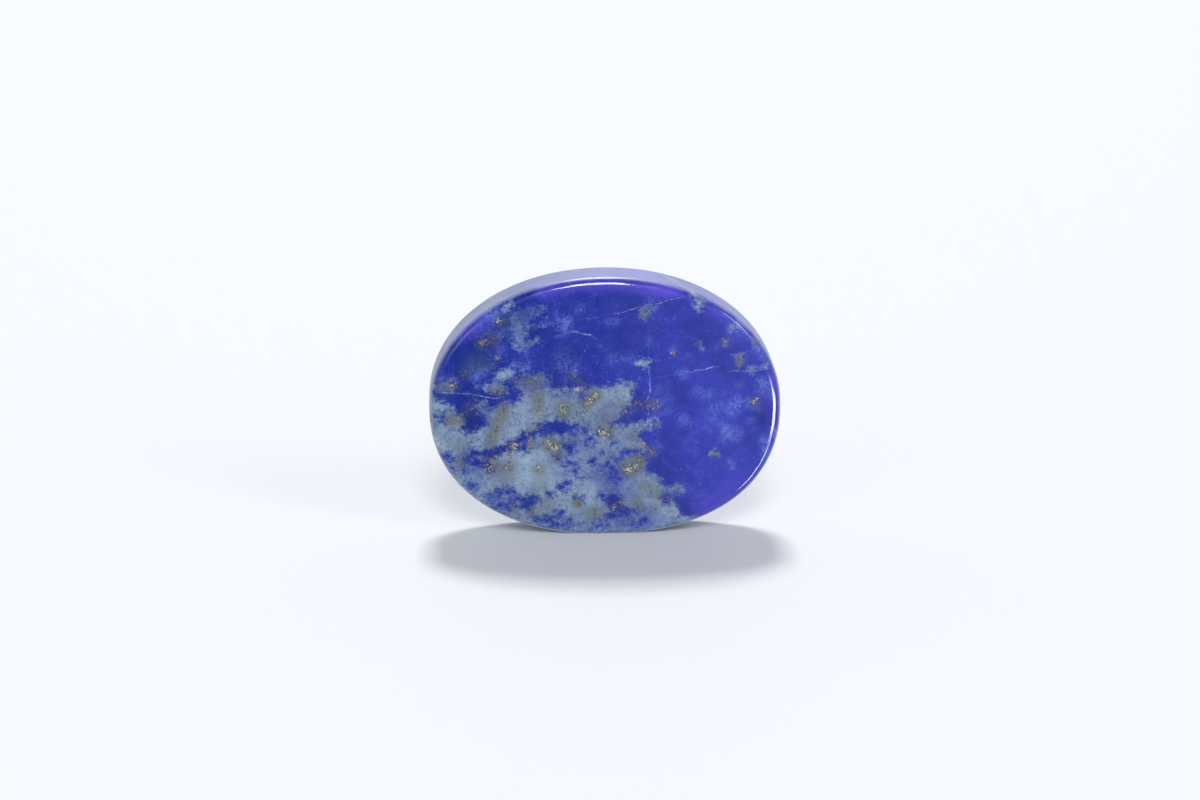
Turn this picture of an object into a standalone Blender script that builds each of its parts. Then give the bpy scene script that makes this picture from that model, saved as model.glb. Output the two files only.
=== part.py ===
"""A polished oval tablet of lapis lazuli, standing on a small flat spot ground into its long edge.

Units are metres and +Z is up. The origin is the middle of the flat spot that the stone rests on.
+X runs along the oval's long axis, and the polished front face looks along -Y.
"""

import math

import bmesh
import bpy
from mathutils import Euler, Vector

MM = 0.001

# The oval, as a lapidary would call it out: length, width and thickness of the tablet
LENGTH = 25.0 * MM
WIDTH = 18.75 * MM
THICKNESS = 4.7 * MM
RIM_RADIUS = 0.62 * MM

# How full each quarter of the hand-ground outline is: 2 is a true ellipse, more is squarer
FULLNESS_UPPER_RIGHT = 2.07
FULLNESS_UPPER_LEFT = 2.08
FULLNESS_LOWER_LEFT = 2.16
FULLNESS_LOWER_RIGHT = 2.27

# The long axis isn't quite level when the stone stands on its flat spot
LEAN = math.radians(0.7)

# The flat spot is a shallow cut across the bottom of the oval
FLAT_SPOT_DEPTH = 0.12 * MM
CUTTER_MARGIN = 2.0 * MM

# One flake is missing from the front rim at the left end, and smaller nicks are beside it
# Each has its angle round the oval in degrees, the scoop's radius, its bite, and how far back it is moved
CHIPS = {
    "flake": (190.5, 0.62 * MM, 0.16 * MM, 0.10 * MM),
    "upper_nick": (183.0, 0.30 * MM, 0.06 * MM, 0.14 * MM),
    "lower_nick": (201.0, 0.34 * MM, 0.06 * MM, 0.12 * MM),
}

# How finely the curved outline and the rims are divided
OUTLINE_POINTS = 132
RIM_SEGMENTS = 4
SCOOP_SUBDIVISIONS = 3
WELD_DISTANCE = 0.001 * MM
SHARP_ANGLE = math.radians(30.0)

STONE_COLOUR = (0.045, 0.062, 0.36, 1.0)
STONE_ROUGHNESS = 0.14
STONE_METALLIC = 0.0


def clear_scene():
    """Removes whatever objects the file starts with."""
    for item in list(bpy.data.objects):
        bpy.data.objects.remove(item, do_unlink=True)


def new_collection(name):
    """Makes a collection in the scene and returns it."""
    collection = bpy.data.collections.new(name)
    bpy.context.scene.collection.children.link(collection)
    return collection


def fullness(angle):
    """The outline's exponent in the quarter that holds this angle."""
    right = math.cos(angle) >= 0.0
    upper = math.sin(angle) >= 0.0
    if upper:
        return FULLNESS_UPPER_RIGHT if right else FULLNESS_UPPER_LEFT
    return FULLNESS_LOWER_RIGHT if right else FULLNESS_LOWER_LEFT


def outline_point(angle):
    """The superellipse's point in the direction of this angle, turned by the stone's lean."""
    power = fullness(angle)
    across = abs(math.cos(angle) / (LENGTH / 2)) ** power
    along = abs(math.sin(angle) / (WIDTH / 2)) ** power
    reach = (across + along) ** (-1.0 / power)
    return Vector((reach * math.cos(angle + LEAN), reach * math.sin(angle + LEAN)))


def outline_points():
    """The whole outline, centred left to right and sunk below the floor by the depth of the flat spot."""
    points = [outline_point(2 * math.pi * i / OUTLINE_POINTS) for i in range(OUTLINE_POINTS)]
    xs = [point.x for point in points]
    ys = [point.y for point in points]
    shift = Vector((-(min(xs) + max(xs)) / 2, -min(ys) - FLAT_SPOT_DEPTH))
    return [point + shift for point in points], shift


def upright(point, depth):
    """A point of the flat outline as it stands in the world, at this depth behind the front face."""
    return Vector((point.x, depth - THICKNESS / 2, point.y))


def make_tablet(collection):
    """The oval blank: a filled flat curve with thickness and rounded rims, stood on its edge, as a mesh."""
    points, _ = outline_points()
    curve = bpy.data.curves.new("tablet_outline", "CURVE")
    curve.dimensions = "2D"
    curve.fill_mode = "BOTH"
    curve.extrude = THICKNESS / 2 - RIM_RADIUS
    curve.bevel_depth = RIM_RADIUS
    curve.bevel_resolution = RIM_SEGMENTS - 1
    curve.offset = -RIM_RADIUS
    spline = curve.splines.new("POLY")
    spline.points.add(len(points) - 1)
    for spot, point in zip(spline.points, points):
        spot.co = (point.x, point.y, 0.0, 1.0)
    spline.use_cyclic_u = True
    outline = bpy.data.objects.new("tablet_outline", curve)
    outline.rotation_euler = Euler((math.radians(90.0), 0.0, 0.0))
    collection.objects.link(outline)
    bpy.context.view_layer.update()

    shape = bpy.data.meshes.new_from_object(outline.evaluated_get(bpy.context.evaluated_depsgraph_get()))
    weld = bmesh.new()
    weld.from_mesh(shape)
    bmesh.ops.remove_doubles(weld, verts=weld.verts, dist=WELD_DISTANCE)
    bmesh.ops.recalc_face_normals(weld, faces=weld.faces)
    weld.to_mesh(shape)
    weld.free()

    tablet = bpy.data.objects.new("lapis_lazuli_stone", shape)
    tablet.matrix_world = outline.matrix_world.copy()
    collection.objects.link(tablet)
    bpy.data.objects.remove(outline, do_unlink=True)
    return tablet


def hide_as_cutter(item):
    """Marks an object as a cutter, which isn't part of the stone."""
    item.hide_render = True
    item.display_type = "WIRE"


def make_flat_spot_cutter(collection):
    """A block whose top face is the plane that the stone rests on."""
    size = Vector((LENGTH, THICKNESS + 2 * CUTTER_MARGIN, CUTTER_MARGIN))
    block = bmesh.new()
    bmesh.ops.create_cube(block, size=1.0)
    bmesh.ops.scale(block, vec=size, verts=block.verts)
    bmesh.ops.translate(block, vec=(0.0, 0.0, -size.z / 2), verts=block.verts)
    shape = bpy.data.meshes.new("flat_spot_cutter")
    block.to_mesh(shape)
    block.free()
    cutter = bpy.data.objects.new("flat_spot_cutter", shape)
    collection.objects.link(cutter)
    hide_as_cutter(cutter)
    return cutter


def make_chip_cutter(name, angle_degrees, radius, bite, depth, collection):
    """A ball that scoops a shell-shaped flake out of the front rim at an angle round the oval."""
    _, shift = outline_points()
    edge = outline_point(math.radians(angle_degrees))
    outward = Vector((edge.x, 0.0, edge.y)).normalized()
    forward = Vector((0.0, -1.0, 0.0))
    diagonal = (outward + forward).normalized()
    rim_centre = upright(edge + shift, RIM_RADIUS) - outward * RIM_RADIUS
    rim_surface = rim_centre + diagonal * RIM_RADIUS
    centre = rim_surface + diagonal * (radius - bite) + Vector((0.0, depth, 0.0))
    ball = bmesh.new()
    bmesh.ops.create_icosphere(ball, subdivisions=SCOOP_SUBDIVISIONS, radius=radius)
    shape = bpy.data.meshes.new(name + "_cutter")
    ball.to_mesh(shape)
    ball.free()
    cutter = bpy.data.objects.new(name + "_cutter", shape)
    cutter.location = centre
    collection.objects.link(cutter)
    hide_as_cutter(cutter)
    return cutter


def cut(stone, cutter):
    """Takes the cutter's shape out of the stone."""
    modifier = stone.modifiers.new(cutter.name, "BOOLEAN")
    modifier.operation = "DIFFERENCE"
    modifier.solver = "EXACT"
    modifier.object = cutter


def make_stone_material():
    """The stone's polished deep blue."""
    material = bpy.data.materials.new("polished_lapis")
    material.use_nodes = True
    shader = material.node_tree.nodes["Principled BSDF"]
    shader.inputs["Base Color"].default_value = STONE_COLOUR
    shader.inputs["Roughness"].default_value = STONE_ROUGHNESS
    shader.inputs["Metallic"].default_value = STONE_METALLIC
    material.diffuse_color = STONE_COLOUR
    return material


def main():
    """Builds the stone from its blank, its flat spot and its chips."""
    clear_scene()
    parts = new_collection("lapis_lazuli")
    cutters = new_collection("cutters")
    stone = make_tablet(parts)
    stone.data.materials.append(make_stone_material())
    stone.data.shade_smooth()
    stone.data.set_sharp_from_angle(angle=SHARP_ANGLE)
    cut(stone, make_flat_spot_cutter(cutters))
    for name, (angle, radius, bite, depth) in CHIPS.items():
        cut(stone, make_chip_cutter(name, angle, radius, bite, depth, cutters))


main()
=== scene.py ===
# %% [markdown]
# # A polished oval of lapis lazuli
# Lapis lazuli is a rock of blue lazurite grown through with grey-white calcite and specks of pyrite.
# This stone is a flat oval tablet, ground by hand and polished until its rim shines. Its whole look is in
# three things: the curve of the rim, which catches the lamps, the clouds inside the stone, and the polish.
# We load the measured solid as a frame, lay a much finer surface over it, paint the minerals with a
# shader that knows where each cloud lies, and light it on a pale table.

# %% Load the frame
import math

import bpy
import numpy as np
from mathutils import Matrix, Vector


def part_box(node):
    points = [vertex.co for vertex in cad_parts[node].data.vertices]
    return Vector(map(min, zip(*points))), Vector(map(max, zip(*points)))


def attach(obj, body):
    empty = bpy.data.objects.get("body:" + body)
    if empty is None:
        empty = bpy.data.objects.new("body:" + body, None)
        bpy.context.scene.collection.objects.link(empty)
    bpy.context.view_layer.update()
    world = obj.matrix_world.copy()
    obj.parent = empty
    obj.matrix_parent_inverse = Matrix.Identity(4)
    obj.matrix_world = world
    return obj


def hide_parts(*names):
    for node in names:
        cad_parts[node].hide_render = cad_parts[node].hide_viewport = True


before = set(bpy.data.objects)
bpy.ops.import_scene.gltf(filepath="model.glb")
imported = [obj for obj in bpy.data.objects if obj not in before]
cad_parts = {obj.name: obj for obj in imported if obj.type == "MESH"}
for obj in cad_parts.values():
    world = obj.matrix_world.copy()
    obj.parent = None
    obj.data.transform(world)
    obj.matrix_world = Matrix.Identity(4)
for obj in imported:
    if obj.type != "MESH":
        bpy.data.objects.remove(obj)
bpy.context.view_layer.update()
MM = 0.001


def in_mm(corner):
    """The three numbers of a corner in millimetres, rounded for printing."""
    return [round(value / MM, 3) for value in corner]


# %% [markdown]
# ## The oval outline
# A lapidary draws the oval with a template and grinds to it by eye, so each quarter of the outline is a
# little fuller or leaner than a true ellipse. A superellipse has one number for that, its exponent: 2 is
# an ellipse and more is squarer. We give each quarter its own exponent, turn the oval by the small angle
# at which it stands, and stretch it onto the frame's box so that it can't differ from the solid.

# %% Sizes taken from the frame, and the outline formula
STONE = "lapis_lazuli_stone"
LOW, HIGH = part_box(STONE)
FLAT_SPOT_DEPTH = 0.12 * MM
RIM_RADIUS = 0.62 * MM
LEAN = math.radians(0.7)
FULLNESS = {"upper_right": 2.07, "upper_left": 2.08, "lower_left": 2.16, "lower_right": 2.27}

THICKNESS = HIGH.y - LOW.y
HALF_LENGTH = (HIGH.x - LOW.x) / 2
HALF_WIDTH = (HIGH.z - LOW.z + FLAT_SPOT_DEPTH) / 2
FACE_CENTRE = np.array([0.0, HALF_WIDTH - FLAT_SPOT_DEPTH])


def fit_between(values, low, high):
    """Moves and stretches numbers in a straight line so that they run from low to high."""
    least, greatest = values.min(), values.max()
    return low + (values - least) * (high - low) / (greatest - least)


def oval_outline(angles):
    """Points of the outline, as x and z.

    The reach from the centre is (|cos / half length|^n + |sin / half width|^n)^(-1/n), with n the fullness
    of the quarter. The point is at that reach, in the direction of the angle plus the lean.
    """
    across, upward = np.cos(angles), np.sin(angles)
    upper = np.where(across >= 0, FULLNESS["upper_right"], FULLNESS["upper_left"])
    lower = np.where(across >= 0, FULLNESS["lower_right"], FULLNESS["lower_left"])
    power = np.where(upward >= 0, upper, lower)
    reach = (np.abs(across / HALF_LENGTH) ** power + np.abs(upward / HALF_WIDTH) ** power) ** (-1 / power)
    x = fit_between(reach * np.cos(angles + LEAN), LOW.x, HIGH.x)
    z = fit_between(reach * np.sin(angles + LEAN), LOW.z - FLAT_SPOT_DEPTH, HIGH.z)
    return np.stack([x, z], axis=-1)


print("length, width, thickness in mm:", in_mm((2 * HALF_LENGTH, 2 * HALF_WIDTH, THICKNESS)))

# %% [markdown]
# ## The tablet's surface
# The whole skin is one sheet with two parameters. The first goes round the oval. The second starts at the
# middle of the front face, runs out to the rim, rolls over it, crosses the wall, rolls over the back rim
# and ends in the middle of the back. More columns are spent where a flake is missing from the rim.

# %% The profile from the middle of the front to the middle of the back
COLUMNS = 540
FACE_RINGS = 104
RIM_RINGS = 15
WALL_RINGS = 7
BACK_RINGS = 22
CHIP_ANGLE = math.radians(190.5)
CHIP_CROWDING = 3.0
CHIP_SPREAD = math.radians(7.0)


def crowded_angles(count):
    """Angles round the oval, closer together near the chip.

    The crowding is 1 plus a bell curve on the chip, and the angles are where its running sum, made to go
    from 0 to 1, passes equal steps.
    """
    fine = np.linspace(0, 2 * math.pi, 20 * count + 1)
    crowding = 1 + CHIP_CROWDING * np.exp(-(((fine - CHIP_ANGLE) / CHIP_SPREAD) ** 2))
    total = np.concatenate([[0], np.cumsum((crowding[1:] + crowding[:-1]) / 2)])
    return np.interp(np.arange(count) / count, total / total[-1], fine)


def tablet_profile():
    """Three numbers for each ring: its share of the way out, its inset from the outline, and its depth.

    On a rim the inset is r(1 - sin t) and the depth r(1 - cos t), with t from 0 to a quarter turn.
    """
    turn = np.linspace(0, math.pi / 2, RIM_RINGS)
    rim_inset = RIM_RADIUS * (1 - np.sin(turn))
    rim_depth = RIM_RADIUS * (1 - np.cos(turn))
    out = np.linspace(0, 1, FACE_RINGS + 1)[:-1]
    back = np.linspace(1, 0, BACK_RINGS + 1)[1:]
    wall = np.linspace(RIM_RADIUS, THICKNESS - RIM_RADIUS, WALL_RINGS + 2)[1:-1]
    share = np.concatenate([out, np.ones(2 * RIM_RINGS + WALL_RINGS), back])
    on_front, on_back = np.full_like(out, RIM_RADIUS), np.full_like(back, RIM_RADIUS)
    inset = np.concatenate([on_front, rim_inset, 0 * wall, rim_inset[::-1], on_back])
    depth = np.concatenate([0 * out, rim_depth, wall, THICKNESS - rim_depth[::-1], 0 * back + THICKNESS])
    return share, inset, depth


print("rings on the skin:", len(tablet_profile()[0]))

# %% [markdown]
# ## Hand polish and missing flakes
# A lap wheel never leaves glass: the polish waves by a few thousandths of a millimetre, which is enough
# to bend the line of light on the rim. Stone also breaks in shells: where a flake has gone, the surface
# is a shallow scoop with faint ripples. The waves are sums of sines and the scoops are balls pressed in.

# %% Waves of the polish and scoops of the flakes
POLISH_WAVE = 0.007 * MM
# Angle round the oval in degrees, the ball's radius, its bite, how far back it is moved,
# and how fresh the break looks, from 0 to 1
SCOOPS = (
    (190.5, 0.62 * MM, 0.16 * MM, 0.10 * MM, 1.0),
    (183.0, 0.30 * MM, 0.06 * MM, 0.14 * MM, 0.2),
    (201.0, 0.34 * MM, 0.06 * MM, 0.12 * MM, 0.2),
)
RIPPLE_LENGTH = 0.09 * MM
RIPPLE_HEIGHT = 0.008 * MM


def polish_waves(x, y, z):
    """A gentle unevenness from 0 to 1: the mean of three slanting sine waves, lifted above zero."""
    first = np.sin(x * 900 + z * 500 + 0.4)
    second = np.sin(x * 410 - z * 1130 + y * 600 + 1.9)
    third = np.sin(x * 1500 + z * 1270 - y * 900 + 4.1)
    return 0.5 + (first + second + third) / 6


def press_scoops(points, angles_to_edges):
    """Moves every point inside a ball out to the ball's surface, away from the ball's middle, with ripples.

    Returns the moved points and how fresh the break is at each, from 0 to 1.
    """
    fresh = np.zeros(len(points))
    for degrees, radius, bite, back, pale in SCOOPS:
        edge, outward = angles_to_edges(math.radians(degrees))
        outward = np.array([outward[0], 0.0, outward[1]])
        forward = np.array([0.0, -1.0, 0.0])
        diagonal = (outward + forward) / math.sqrt(2)
        rim_middle = np.array([edge[0], LOW.y + RIM_RADIUS, edge[1]]) - outward * RIM_RADIUS
        middle = rim_middle + diagonal * (RIM_RADIUS + radius - bite) + np.array([0.0, back, 0.0])
        away = points - middle
        distance = np.linalg.norm(away, axis=1)
        ripple = RIPPLE_HEIGHT * np.sin(2 * math.pi * (points[:, 2] - edge[1]) / RIPPLE_LENGTH)
        depth = np.clip((radius - distance) / bite, 0, 1)
        reach = radius + ripple * np.sqrt(depth)
        inside = distance < radius
        points[inside] = middle + away[inside] * (reach / distance)[inside, None]
        fresh = np.maximum(fresh, pale * np.clip(3 * depth, 0, 1))
    return points, fresh


print("scoops on the front rim:", len(SCOOPS))

# %% [markdown]
# ## From the formula to a mesh
# The grid of rings and columns becomes points in one go, as arrays. The first and last rings have shrunk
# to a point, so each is kept as one vertex with a fan of triangles, and the last column joins the first.

# %% Build the skin
def outward_normals(outline):
    """Unit vectors square to the closed outline, pointing out, from each point's two neighbours."""
    along = np.roll(outline, -1, axis=0) - np.roll(outline, 1, axis=0)
    normals = np.stack([along[:, 1], -along[:, 0]], axis=-1)
    return normals / np.linalg.norm(normals, axis=1, keepdims=True)


def skin_points():
    """All points of the skin, ring by ring, with one for each pole, and how fresh each one's break is.

    A point is centre + share * (outline - inset * normal - centre) at its ring's depth. The waves then take
    a little off, and what would be under the table is cut level with it.
    """
    outline = oval_outline(crowded_angles(COLUMNS))
    normals = outward_normals(outline)
    share, inset, depth = tablet_profile()
    wave = POLISH_WAVE * polish_waves(outline[:, 0], depth[:, None], outline[:, 1])
    pulled = outline[None] - (inset[:, None, None] + wave[..., None]) * normals[None]
    flat = FACE_CENTRE + share[:, None, None] * (pulled - FACE_CENTRE)
    face_wave = POLISH_WAVE * polish_waves(flat[..., 0], depth[:, None], flat[..., 1])
    face_wave *= np.sign(THICKNESS / 2 - depth)[:, None]
    level = np.broadcast_to(depth[:, None], face_wave.shape) + LOW.y
    level = np.clip(level + face_wave, LOW.y, HIGH.y)
    grid = np.stack([flat[..., 0], level, flat[..., 1]], axis=-1)
    points = np.concatenate([grid[:1, 0], grid[1:-1].reshape(-1, 3), grid[-1:, 0]])

    def edge_at(angle):
        """The outline's point and its outward direction nearest to an angle."""
        place = np.argmin(np.abs(crowded_angles(COLUMNS) - angle))
        return outline[place], normals[place]

    points, fresh = press_scoops(points, edge_at)
    points[:, 2] = np.maximum(points[:, 2], LOW.z)
    return points, fresh


def skin_faces():
    """Quads between rings and columns and a fan of triangles at each pole, wound to face outwards."""
    rings = len(tablet_profile()[0]) - 2
    column = np.arange(COLUMNS)
    after = np.roll(column, -1)
    start = 1 + COLUMNS * np.arange(rings - 1)[:, None]
    corners = (start + column, start + after, start + COLUMNS + after, start + COLUMNS + column)
    quads = np.stack(corners, axis=-1).reshape(-1, 4)
    last = 1 + COLUMNS * rings
    front = np.stack([np.zeros_like(column), 1 + after, 1 + column], axis=-1)
    back = np.stack([np.full_like(column, last), last - COLUMNS + column, last - COLUMNS + after], axis=-1)
    patches = (quads[:, ::-1], front[:, ::-1], back[:, ::-1])
    return [tuple(face) for patch in patches for face in patch.tolist()]


POINTS, FRESH_BREAK = skin_points()
RING_ROUNDING = np.clip(1 - tablet_profile()[1] / RIM_RADIUS, 0, 1)
ROUNDING = np.concatenate([RING_ROUNDING[:1], np.repeat(RING_ROUNDING[1:-1], COLUMNS), RING_ROUNDING[-1:]])
skin = bpy.data.meshes.new("polished_skin")
skin.from_pydata(POINTS.tolist(), [], skin_faces())
skin.validate()
skin.shade_smooth()
stone = bpy.data.objects.new("lapis_oval", skin)
bpy.context.scene.collection.objects.link(stone)
print("skin:", len(skin.vertices), "points,", len(skin.polygons), "faces")

# %% [markdown]
# ## A place inside the stone
# The clouds run through the stone, not over it. Every point gets a place in millimetres: across and up
# from the middle of the front face, and in. Deeper layers are shifted sideways a little, as slanting
# layers are, so the wall and the back continue the front's clouds without repeating them exactly.

# %% Give every point its place in the stone
SLANT_ACROSS = 0.45
SLANT_UP = -0.28


def place_in_stone(points):
    """Columns of across, up and in, in millimetres. Across and up move by the slant times the depth."""
    deep = (points[:, 1] - LOW.y) / MM
    across = (points[:, 0] - FACE_CENTRE[0]) / MM + SLANT_ACROSS * deep
    upward = (points[:, 2] - FACE_CENTRE[1]) / MM + SLANT_UP * deep
    return np.stack([across, upward, deep], axis=-1)


PLACE = place_in_stone(POINTS)


def wandering(place):
    """Places moved as the layers wander: not at all on the front, and about a millimetre at the back."""
    across, upward, deep = place.T
    drift = np.sin(across * 0.55 + upward * 0.35 + 1.0) + np.sin(upward * 0.8 - across * 0.25 + 2.0)
    lift = np.sin(across * 0.45 - upward * 0.5 + 3.0) + np.sin(across * 0.9 + 0.5)
    grown = 0.12 * deep
    return np.stack([across + grown * drift, upward + grown * lift], axis=-1)


DRAWING = wandering(PLACE)
print("deepest place in mm:", round(float(PLACE[:, 2].max()), 2))

# %% [markdown]
# ## Drawing the clouds
# A cloud is drawn as a painter would, with brush strokes: each stroke is a chain of spots, given by their
# place and radius in millimetres. Its distance field is the distance to the chain less the radius there,
# so it is a smooth number that says how far inside or outside a point is. The shader roughens that
# number with noise later, which makes the feathery mineral edge. The mesh only has to carry the number.

# %% Distance to strokes and outlines
def stroke_depth(stroke, spots):
    """How far inside a stroke each point is, in millimetres, negative outside.

    For each stretch of the chain it is the radius at the nearest place on it less the distance to it, and
    the stroke takes the greatest of them.
    """
    best = np.full(len(spots), -99.0)
    chain = list(zip(stroke[:-1], stroke[1:])) or [(stroke[0], stroke[0])]
    for (x0, z0, r0), (x1, z1, r1) in chain:
        start, run = np.array([x0, z0]), np.array([x1 - x0, z1 - z0])
        along = np.clip((spots - start) @ run / max(run @ run, 1e-9), 0, 1)
        distance = np.linalg.norm(spots - start - along[:, None] * run, axis=1)
        best = np.maximum(best, r0 + (r1 - r0) * along - distance)
    return best


def strokes_depth(strokes, spots):
    """The greatest depth over several strokes."""
    return np.max([stroke_depth(stroke, spots) for stroke in strokes], axis=0)


def region_depth(outline, spots):
    """How far inside a closed outline each point is, negative outside.

    It is the distance to the nearest side, positive where a ray from the point crosses the sides an odd
    number of times.
    """
    corners = np.array(outline)
    inside = np.zeros(len(spots), bool)
    nearest = np.full(len(spots), 99.0)
    for start, end in zip(corners, np.roll(corners, -1, axis=0)):
        run = end - start
        along = np.clip((spots - start) @ run / (run @ run), 0, 1)
        nearest = np.minimum(nearest, np.linalg.norm(spots - start - along[:, None] * run, axis=1))
        straddles = (start[1] > spots[:, 1]) != (end[1] > spots[:, 1])
        crossing = start[0] + (spots[:, 1] - start[1]) * run[0] / (run[1] or 1e-9)
        inside ^= straddles & (spots[:, 0] < crossing)
    return np.where(inside, nearest, -nearest)


def glow(marks, spots):
    """A soft amount from 0 to 1: each mark's strength times a bell curve that is full on its stroke."""
    total = np.zeros(len(spots))
    for strength, stroke in marks:
        beyond = np.maximum(-stroke_depth(stroke, spots), 0)
        soft = max(radius for _, _, radius in stroke) + 0.15
        total = 1 - (1 - total) * (1 - strength * np.exp(-((beyond / soft) ** 2)))
    return total


def keep_on_skin(name, values):
    """Stores one number for each point of the skin, for the shader to read by name."""
    skin.attributes.new(name, "FLOAT", "POINT").data.foreach_set("value", values.astype(np.float32))


kept_place = skin.attributes.new("place", "FLOAT_VECTOR", "POINT")
kept_place.data.foreach_set("vector", PLACE.astype(np.float32).ravel())
keep_on_skin("fresh_break", FRESH_BREAK)
keep_on_skin("rounding", ROUNDING)
print("kept on the skin:", [item.name for item in skin.attributes if not item.is_internal])

# %% [markdown]
# ## The calcite clouds
# One big cloud fills the lower left of the face, with a pointed tongue to the right, and small ones lie
# near the top and the right rim. Rivers of blue run back through the big one, rising to the right.

# %% Where the calcite lies
BIG_CLOUD = (
    (-13.4, 0.75), (-12.1, 0.75), (-11.6, 0.6), (-11.35, 0.2), (-10.9, 0.0), (-10.6, -0.35),
    (-10.25, -0.45), (-10.2, -1.0), (-10.5, -1.3), (-10.2, -1.7), (-9.6, -1.8), (-9.0, -1.45),
    (-8.5, -1.1), (-8.5, -0.6), (-9.1, -0.3), (-9.2, 0.3), (-8.95, 0.75), (-8.5, 0.55), (-8.35, 0.1),
    (-8.0, -0.25), (-7.6, 0.1), (-7.2, 0.4), (-6.7, 0.4), (-6.1, 0.6), (-6.05, 1.25), (-6.5, 1.6),
    (-6.6, 2.1), (-6.1, 2.45), (-5.2, 2.45), (-4.3, 2.5), (-3.9, 2.2), (-4.0, 1.6), (-3.2, 1.35),
    (-1.9, 1.4), (-1.85, 0.95), (-1.5, 0.75), (-1.2, 1.0), (-1.25, 1.4), (0.0, 1.6), (1.2, 1.85),
    (2.2, 1.8), (2.05, 1.3), (1.85, 0.9), (1.75, 0.4), (1.55, 0.0), (1.1, -0.45), (0.75, -0.85),
    (0.55, -1.0), (0.9, -1.3), (1.6, -1.3), (2.6, -1.15), (3.5, -0.95), (3.9, -1.05), (3.4, -1.45),
    (2.7, -1.75), (2.35, -2.1), (2.5, -2.55), (3.0, -2.7), (2.9, -3.1), (2.6, -3.3), (2.85, -3.8),
    (2.75, -4.3), (3.1, -4.75), (3.6, -5.0), (3.85, -5.4), (4.3, -5.7), (4.8, -5.9), (5.5, -5.75),
    (5.6, -6.05), (4.9, -6.25), (4.2, -6.3), (3.9, -6.7), (4.2, -7.05), (5.0, -7.05), (5.25, -7.5),
    (5.2, -7.95), (5.7, -8.05), (6.6, -8.1), (7.0, -11.0), (-6.0, -11.0), (-13.4, -7.0),
)
SMALL_CLOUDS = (
    ((-6.0, 6.6, 0.55), (-6.1, 5.6, 0.50), (-6.15, 4.75, 0.42)),
    ((-6.1, 6.9, 0.25), (-5.3, 7.0, 0.38), (-4.4, 7.2, 0.22)),
    ((-6.0, 4.65, 0.30), (-5.4, 4.8, 0.14), (-4.9, 4.92, 0.04)),
    ((-6.0, 5.75, 0.12), (-5.0, 5.97, 0.08), (-4.5, 6.0, 0.02)),
    ((-8.4, 1.5, 0.28), (-7.4, 1.45, 0.40)),
    ((-7.4, 2.4, 0.42), (-6.8, 2.55, 0.35)),
    ((-11.9, 1.55, 0.20), (-11.0, 1.6, 0.28)),
    ((3.0, 7.35, 0.26), (2.75, 6.9, 0.24), (2.65, 6.35, 0.06)),
    ((3.3, 7.45, 0.10), (3.45, 7.3, 0.06)),
    ((9.55, 3.0, 0.16), (9.5, 3.5, 0.24), (9.8, 3.85, 0.16), (10.1, 4.05, 0.04)),
    ((10.1, 2.65, 0.16), (10.4, 2.7, 0.18)),
    ((10.6, 4.8, 0.18), (10.9, 4.75, 0.20)),
    ((8.5, 4.75, 0.14),),
    ((6.6, 4.65, 0.20), (6.8, 4.35, 0.10)),
    ((2.35, 3.25, 0.10), (2.75, 3.12, 0.16), (3.1, 3.3, 0.12)),
    ((7.6, -3.37, 0.10), (8.0, -3.4, 0.10)),
    ((6.2, 8.3, 0.16), (6.9, 7.85, 0.14), (6.6, 7.4, 0.22), (6.6, 7.05, 0.06)),
    ((-7.0, 7.15, 0.08), (-6.85, 7.5, 0.16), (-6.7, 7.7, 0.10)),
    ((9.0, 5.6, 0.10), (9.2, 5.8, 0.14)),
    ((11.4, 2.9, 0.14), (11.65, 2.85, 0.10)),
)
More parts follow.
